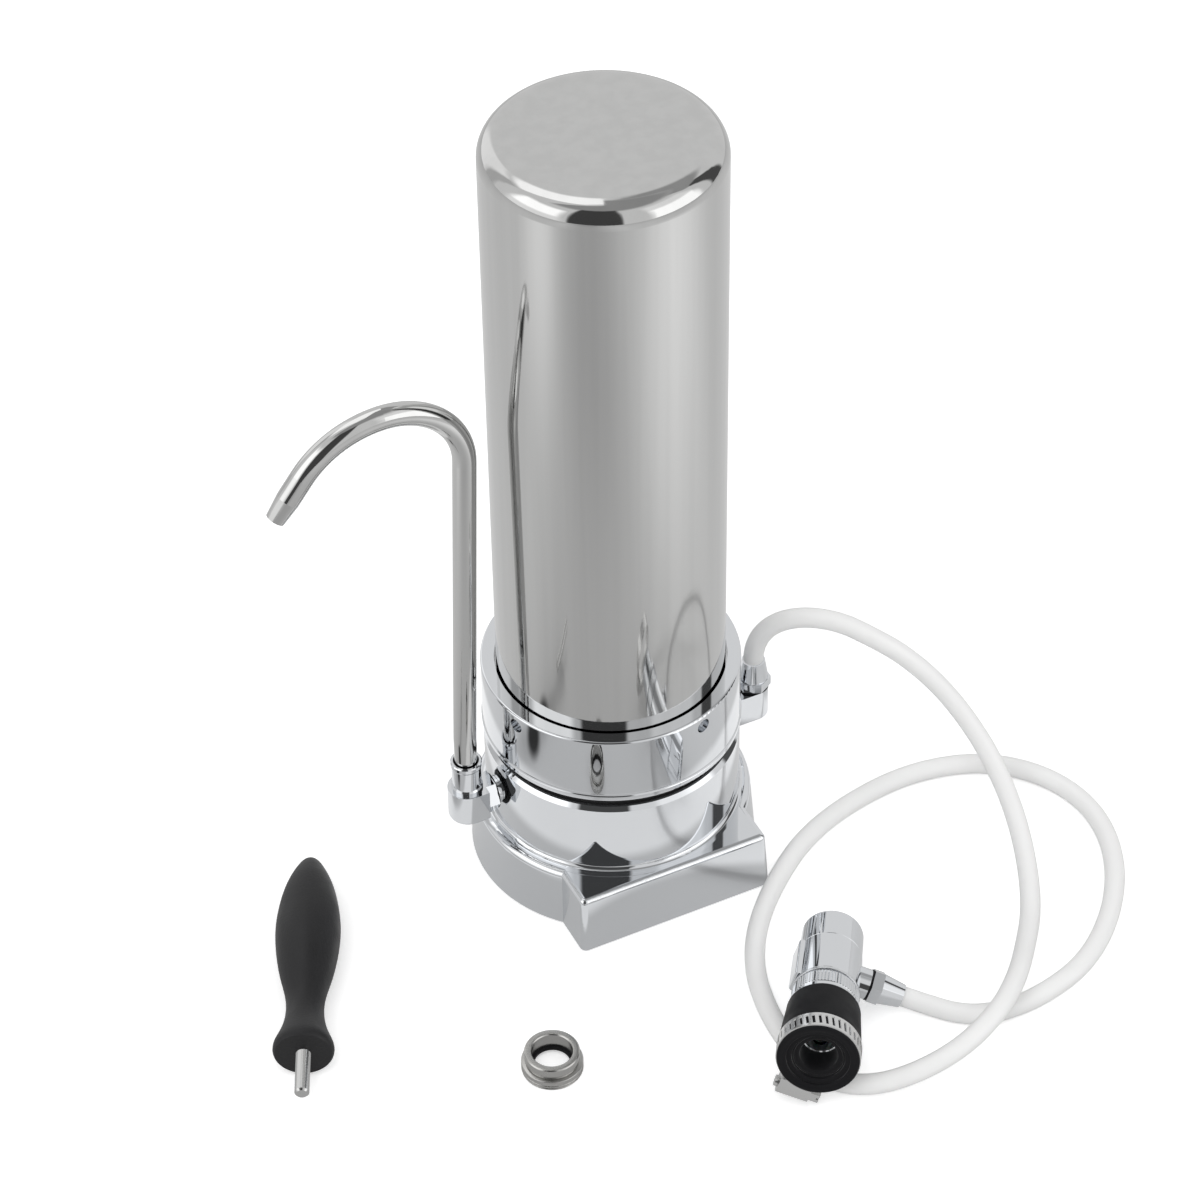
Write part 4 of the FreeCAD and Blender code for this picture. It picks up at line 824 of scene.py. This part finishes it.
class PieceOperator(bpy.types.Operator):
    """Makes one piece of the filter"""

    bl_options = {"REGISTER", "UNDO"}

    def execute(self, context):
        self.make(context.scene.filter_sizes)
        return {"FINISHED"}


class FILTER_OT_camera(PieceOperator):
    """Sets up the camera at the angle of the product view"""

    bl_idname = "filter.camera"
    bl_label = "Camera"

    def make(self, sizes):
        lens = bpy.data.cameras.new("product_camera")
        lens.lens = LENS
        lens.clip_start, lens.clip_end = VIEW_DEPTH
        camera = new_object("product_camera", lens)
        camera.matrix_world = Matrix(CAMERA_AXES).transposed().to_4x4()
        camera.location = Vector(CAMERA_AT) * MM
        bpy.context.scene.camera = camera


class FILTER_OT_hose(PieceOperator):
    """Lays the hose from the inlet nut to the diverter"""

    bl_idname = "filter.hose"
    bl_label = "Hose"

    def make(self, sizes):
        diverter = on_diverter()
        port, _, along = diverter.to_3x3().col
        end = diverter.translation + (along * PORT_STATION + port * NUT_REACH) * MM
        points = [Vector(point) * MM for point in HOSE_ROUTE]
        points += [end + port * HOSE_RUN_IN * MM, end]
        curve = bpy.data.curves.new("hose", "CURVE")
        curve.dimensions = "3D"
        spline = curve.splines.new("NURBS")
        spline.points.add(len(points) - 1)
        for entry, point in zip(spline.points, points):
            entry.co = (*point, 1.0)
        spline.order_u = 3
        spline.use_endpoint_u = True
        curve.resolution_u = 10
        curve.bevel_depth = sizes.hose_diameter / 2
        curve.bevel_resolution = 8
        curve.use_fill_caps = True
        hose = new_object("milky_hose", curve)
        mount(hose, "hose_plastic", "base", "hose")
        hose.visible_glossy = False


class FILTER_OT_stage(PieceOperator):
    """Sets up the pale floor, the studio light and the surroundings"""

    bl_idname = "filter.stage"
    bl_label = "Stage"

    def make(self, sizes):
        self.floor()
        self.surroundings()
        for name, place, power in LAMPS:
            self.lamp(name, place, power)
        bpy.context.scene.view_settings.view_transform = "Standard"

    def floor(self):
        """A white floor for the camera; shiny pieces see it darker, as a painted reflection with
        painted light spots, a painted shade lane, a painted dark spot and a painted bright ring.
        """
        mesh = bpy.data.meshes.new("floor")
        corners = [(x * FLOOR_REACH, y * FLOOR_REACH, 0)
                   for x, y in ((-1, -1), (1, -1), (1, 1), (-1, 1))]
        mesh.from_pydata(corners, [], [(0, 1, 2, 3)])
        floor = new_object("floor", mesh)
        material = bpy.data.materials.new("studio_floor")
        tree = Tree(emptied(material))
        ray = tree.add("ShaderNodeLightPath").outputs
        tone = self.mirrored_tone(tree)
        colour = tuple(bpy.context.scene.filter_colours.floor)
        # Painted reflection: shiny pieces see the floor in the painted tone, partly lit by the
        # lamps and partly as painted glow
        matt = tree.add("ShaderNodeBsdfDiffuse", {"Color": tree.mix(
            ray["Is Glossy Ray"], colour, tree.grey(tree.times(tone, MATT_SHARE)))})
        seen = tree.times(tree.times(tone, GLOW_SHARE), ray["Is Glossy Ray"])
        seen = tree.math("MULTIPLY_ADD", ray["Is Camera Ray"], CAMERA_GLOW, seen)
        glow = tree.add("ShaderNodeEmission", {"Color": (1.0, 1.0, 1.0), "Strength": seen})
        lit = tree.add("ShaderNodeAddShader", {0: matt, 1: glow})
        tree.add("ShaderNodeOutputMaterial", {"Surface": lit})
        floor.data.materials.append(material)

    def mirrored_tone(self, tree):
        """Painted reflection: how bright the floor is painted where a shiny piece mirrors it."""
        place = tree.place()
        front = tree.measure("DOT_PRODUCT", place, FRONT)
        aside = tree.measure("DOT_PRODUCT", place, ASIDE)
        # Painted shade: a darker lane in the floor's reflection, towards the camera
        off = tree.math("ABSOLUTE", tree.math("MULTIPLY_ADD", front, LANE_SLOPE, aside))
        width = tree.math("MULTIPLY_ADD", tree.math("MAXIMUM", front, 0.0), LANE_SLOPE,
                          LANE_WIDTH)
        lane = tree.times(tree.ramp(tree.math("DIVIDE", off, width), *LANE_EDGE, 1.0, 0.0),
                          tree.ramp(front, *LANE_START))

        def distance(ahead, beside):
            return tree.measure("DISTANCE", place, Vector(FRONT) * ahead + Vector(ASIDE) * beside)

        tone = FLOOR_TONE
        # Painted light: brighter spots in the floor's reflection
        for ahead, beside, reach, more in PAINTED_LIGHT_SPOTS:
            spot = tree.ramp(distance(ahead, beside), 0.0, reach, more, 0.0)
            tone = tree.math("ADD", spot, tone)
        tone = tree.blend(lane, tone, tree.ramp(front, *LANE_FADE, *LANE_TONES))
        # Painted shade: a dark spot in the floor's reflection
        spot = tree.ramp(distance(*DARK_SPOT), *DARK_SPOT_EDGE, 1.0, 0.0)
        tone = tree.blend(spot, tone, DARK_SPOT_TONE)
        # Painted light: a brighter ring round the base in the floor's reflection
        ring = tree.band(tree.measure("LENGTH", place), *BRIGHT_RING)
        return tree.math("MULTIPLY_ADD", ring, BRIGHT_RING_MORE, tone)

    def surroundings(self):
        """A white room; shiny pieces see its soft boxes and dark gaps instead."""
        world = bpy.context.scene.world = bpy.data.worlds.new("studio")
        tree = Tree(emptied(world))
        ray = tree.add("ShaderNodeLightPath").outputs
        way = tree.add("ShaderNodeTexCoord").outputs["Generated"]
        front, aside, up = (tree.measure("DOT_PRODUCT", way, axis)
                            for axis in (FRONT, ASIDE, (0.0, 0.0, 1.0)))
        heading = tree.math("DEGREES", tree.math("ARCTAN2", aside, front))
        rise = tree.math("DEGREES", tree.math("ARCSINE", up))
        room = ROOM
        for first, last, low, high, soft, brightness in PANELS:
            inside = tree.times(tree.band(heading, first, last, soft),
                                tree.band(rise, low, high, soft))
            room = tree.blend(inside, room, brightness)

        def light(colour, strength):
            return tree.add("ShaderNodeBackground", {"Color": colour, "Strength": strength})

        def choice(mask, no, yes):
            return tree.add("ShaderNodeMixShader", {"Fac": ray[mask], 1: no, 2: yes})

        white = (1.0, 1.0, 1.0)
        mirrored = choice("Is Glossy Ray", light(white, PLAIN_ROOM), light(tree.grey(room), 1.0))
        seen = choice("Is Camera Ray", mirrored, light(white, 1.0))
        tree.add("ShaderNodeOutputWorld", {"Surface": seen})

    def lamp(self, name, place, power):
        light = bpy.data.lights.new(name, "AREA")
        light.shape = "DISK"
        light.size = LAMP_SIZE
        light.energy = power
        lamp = new_object(name, light)
        lamp.visible_glossy = False
        lamp.location = place
        aim = Vector(LAMP_AIM) - Vector(place)
        lamp.rotation_euler = aim.to_track_quat("-Z", "Y").to_euler()


class FILTER_OT_metalwork(PieceOperator):
    """Gives the pieces of the frame that stay visible their finishes"""

    bl_idname = "filter.metalwork"
    bl_label = "Finishes of the Frame"

    def make(self, sizes):
        for node in NODES.values():
            if not node.hide_render:
                for slot in node.material_slots:
                    slot.material = finish(slot.material.name.split(".")[0])
        NODES["wrench_grip"].visible_glossy = False


class FILTER_OT_tap_sleeve(PieceOperator):
    """Makes the rubber sleeve that is clamped on a tap"""

    bl_idname = "filter.tap_sleeve"
    bl_label = "Rubber Sleeve"

    def make(self, sizes):
        sleeve = lathe("rubber_tap_sleeve", (
            (8.0, 15.8, 0.2), (8.0, 3.0, 0.9), (10.0, 3.0, 0), (10.4, 2.5, 0),
            (10.8, 3.0, 0), (11.2, 3.0, 0), (11.2, 1.5, 0.3), (13.4, 1.5, 0),
            (13.4, 0.2, 0.35), (14.9, 0.2, 0), (15.2, 0.0, 0), (17.35, 0.0, 0.7),
            (17.4, 1.2, 0.25), (17.12, 1.5, 0), (17.1, 5.4, 0), (17.12, 9.3, 0),
            (17.45, 9.5, 0.5), (17.3, 12.0, 2.0), (15.8, 30.5, 3.0), (15.75, 33.0, 1.6),
            (11.4, 33.0, 0.3), (11.4, 15.8, 0)), on_diverter())
        mount_rubber(sleeve, "tap_sleeve")
        sleeve.visible_glossy = False


class FILTER_OT_clamp_band(PieceOperator):
    """Makes the slotted band of the hose clamp"""

    bl_idname = "filter.clamp_band"
    bl_label = "Clamp Band"

    def make(self, sizes):
        grow("slotted_band", "Slotted Band", {
            "Slots": sizes.band_slots, "Slot Length": sizes.band_slot_length,
            "Slot Width": sizes.band_slot_width},
            on_diverter(), None, "clamp_steel", "base", "clamp_band")


class FILTER_OT_knurled_ring(PieceOperator):
    """Makes the knurled ring of the diverter"""

    bl_idname = "filter.knurled_ring"
    bl_label = "Knurled Ring"

    def make(self, sizes):
        plain = lathe("knurl_seed", (
            (9.7, 36.0, 0), (13.7, 36.0, 0.3), (14.1, 36.5, 0), (14.1, 43.2, 0),
            (13.8, 43.3, 0), (13.8, 43.8, 0), (14.6, 44.0, 0.25), (14.6, 45.5, 0.3),
            (12.36, 45.6, 0), (12.36, 37.2, 0), (9.7, 37.2, 0)))
        grow("knurled_union_ring", "Straight Knurl", {
            "Radius": KNURL_TOP * MM - sizes.knurl_depth, "Depth": sizes.knurl_depth,
            "Ridges": sizes.knurl_ridges},
            on_diverter(), plain, "knurled_chrome", "knurled_ring", "knurled_ring")


class FILTER_OT_adapter(PieceOperator):
    """Makes the turned thread adapter"""

    bl_idname = "filter.adapter"
    bl_label = "Thread Adapter"

    def make(self, sizes):
        place = Matrix.Translation((ADAPTER_AT[0] * MM, ADAPTER_AT[1] * MM, 0))
        plain = lathe("adapter_seed", (
            (10.9, 0.0, 0), (12.7, 0.0, 0.2), (13.0, 0.4, 0), (13.0, 3.4, 0),
            (12.9, 3.7, 0), (13.2, 4.0, 0.2), (13.2, 5.1, 0.4), (11.1, 5.3, 0.2),
            (11.05, 6.1, 0.2), (11.85, 6.5, 0.3), (11.85, 10.4, 0.5), (11.3, 10.9, 0.2),
            (9.1, 10.9, 0.4), (8.7, 10.4, 0), (8.7, 4.0, 0), (10.9, 4.0, 0)))
        grow("turned_adapter", "Screw Thread", {"Pitch": sizes.adapter_pitch},
             place, plain, "satin_steel", "adapter", "adapter_ring")
        washer = flat_ring("adapter_seal", 10.9, 7.6, 2.0, 4.0, place, 0.4)
        mount_rubber(washer, "adapter_washer", "adapter")


class FILTER_OT_rubber_pad(PieceOperator):
    """Makes the studded pad that the filter stands on"""

    bl_idname = "filter.rubber_pad"
    bl_label = "Rubber Pad"

    def make(self, sizes):
        plain = lathe("pad_seed", (
            (0.0, 0.6, 0), (44.0, 0.6, 0.2), (44.4, 0.0, 0.2), (45.6, 0.0, 0.3),
            (46.0, 0.6, 0.3), (46.0, 2.6, 0.3), (0.0, 2.6, 0)))
        grow("studded_pad", "Studs", {
            "Stud": sizes.pad_stud, "Spacing": sizes.pad_stud_spacing},
            None, plain, "black_rubber", "base", "rubber_pad")


class FILTER_OT_seals(PieceOperator):
    """Makes the washers, seals and O-rings"""

    bl_idname = "filter.seals"
    bl_label = "Seals and Washers"

    def make(self, sizes):
        inlet = Matrix.Translation((PORT_X * MM, 0, INLET_SEAT * MM))
        spout = Matrix.Translation((-PORT_X * MM, 0, 0))
        ports = [flat_ring("port_seal", 8.1, 6.0, 57.9, 58.8, on_side_port(side))
                 for side in (-1, 1)]
        mount_rubber(join("port_seals", ports), "port_washers")
        mount_rubber(flat_ring("inlet_seal", 6.8, 4.2, 0.0, 1.0, inlet), "inlet_washer")
        mount_rubber(flat_ring("diverter_seal", 6.8, 4.2, 0.0, 1.0, on_diverter_port()),
                     "diverter_washer")
        mount_rubber(flat_ring("union_seal", 12.0, 7.6, 39.1, 40.9, on_diverter()),
                     "swivel_washer")
        gland = lathe("spout_gland", (
            (5.06, 65.9, 0), (5.65, 65.9, 0), (5.65, 71.9, 0), (5.4, 72.3, 0.15),
            (5.06, 72.3, 0.1)), spout, 96)
        mount_rubber(gland, "spout_seal", "spout")
        mount_rubber(round_ring("cup_o_ring", 49.6, 3.0, 87.7), "cup_seal")
        rings = [round_ring("spigot_o_ring", 11.0, 2.4, height) for height in (94.6, 99.6)]
        mount_rubber(join("spigot_o_rings", rings), "spigot_rings")
        mount_rubber(flat_ring("cartridge_seal", 24.0, 13.0, 88.9, 90.9, rounding=0.6),
                     "cartridge_gasket", "cartridge")


class FILTER_OT_cartridge(PieceOperator):
    """Makes the fleece wrap of the cartridge and the net round it"""

    bl_idname = "filter.cartridge"
    bl_label = "Cartridge Wrap"

    def make(self, sizes):
        low, high = (corner.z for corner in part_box("cartridge_wrap"))
        wrap = lathe("fleece_wrap", (
            (32.0, low / MM, 0), (32.9, low / MM, 0.2), (32.9, high / MM, 0.2),
            (32.0, high / MM, 0)))
        mount(wrap, "fleece", "cartridge", "cartridge_wrap")
        bare = 5.0 * MM      # at each end of the wrap
        grow("cartridge_net", "Diamond Net", {
            "Low": low + bare, "Height": high - low - 2 * bare, "Strand": sizes.net_strand,
            "Strands": sizes.net_strands}, None, None, "white_plastic", "cartridge")


class FILTER_OT_neck_thread(PieceOperator):
    """Makes the thread on the neck of the filter head"""

    bl_idname = "filter.neck_thread"
    bl_label = "Neck Thread"

    def make(self, sizes):
        # The thread is black like the head, whose black also stands in for the shade in the gap
        # under the lock ring
        grow("neck_thread", "Screw Thread", {
            "Radius": 0.0522, "Low": 0.0735, "Pitch": sizes.neck_pitch, "Turns": 4.5,
            "Depth": 0.00022, "Steps": 160}, None, None, "black_plastic", "base")


class FILTER_OT_screen(PieceOperator):
    """Makes the woven screen in the aerator"""

    bl_idname = "filter.screen"
    bl_label = "Aerator Screen"

    def make(self, sizes):
        rim = flat_ring("screen_seed", 8.4, 7.7, 86.05, 86.85)
        grow("woven_screen", "Wire Screen", {
            "Wire": sizes.screen_wire, "Wires": sizes.screen_wires},
            on_diverter(), rim, "screw_steel", "outlet_sleeve", "aerator_screen")


class FILTER_PT_panel(bpy.types.Panel):
    """Lists the pieces, their sizes and their finishes"""

    bl_idname = "FILTER_PT_panel"
    bl_label = "Countertop Water Filter"
    bl_space_type = "VIEW_3D"
    bl_region_type = "UI"
    bl_category = "Filter"

    def draw(self, context):
        column = self.layout.column(align=True)
        for operator in OPERATORS:
            column.operator(operator.bl_idname)
        for group in (context.scene.filter_sizes, context.scene.filter_colours):
            box = self.layout.box()
            for name in group.__annotations__:
                box.prop(group, name)


OPERATORS = (
    FILTER_OT_camera, FILTER_OT_hose, FILTER_OT_stage, FILTER_OT_tap_sleeve,
    FILTER_OT_clamp_band, FILTER_OT_knurled_ring, FILTER_OT_adapter, FILTER_OT_rubber_pad,
    FILTER_OT_seals, FILTER_OT_cartridge, FILTER_OT_neck_thread, FILTER_OT_screen,
    FILTER_OT_metalwork,
)
CLASSES = (FilterSizes, FilterColours, *OPERATORS, FILTER_PT_panel)


def register():
    for entry in CLASSES:
        bpy.utils.register_class(entry)
    bpy.types.Scene.filter_sizes = bpy.props.PointerProperty(type=FilterSizes)
    bpy.types.Scene.filter_colours = bpy.props.PointerProperty(type=FilterColours)


def unregister():
    del bpy.types.Scene.filter_colours
    del bpy.types.Scene.filter_sizes
    for entry in reversed(CLASSES):
        bpy.utils.unregister_class(entry)


def main():
    register()
    for operator in OPERATORS:
        group, name = operator.bl_idname.split(".")
        getattr(getattr(bpy.ops, group), name)()
    bpy.context.view_layer.update()


if __name__ == "__main__":
    main()
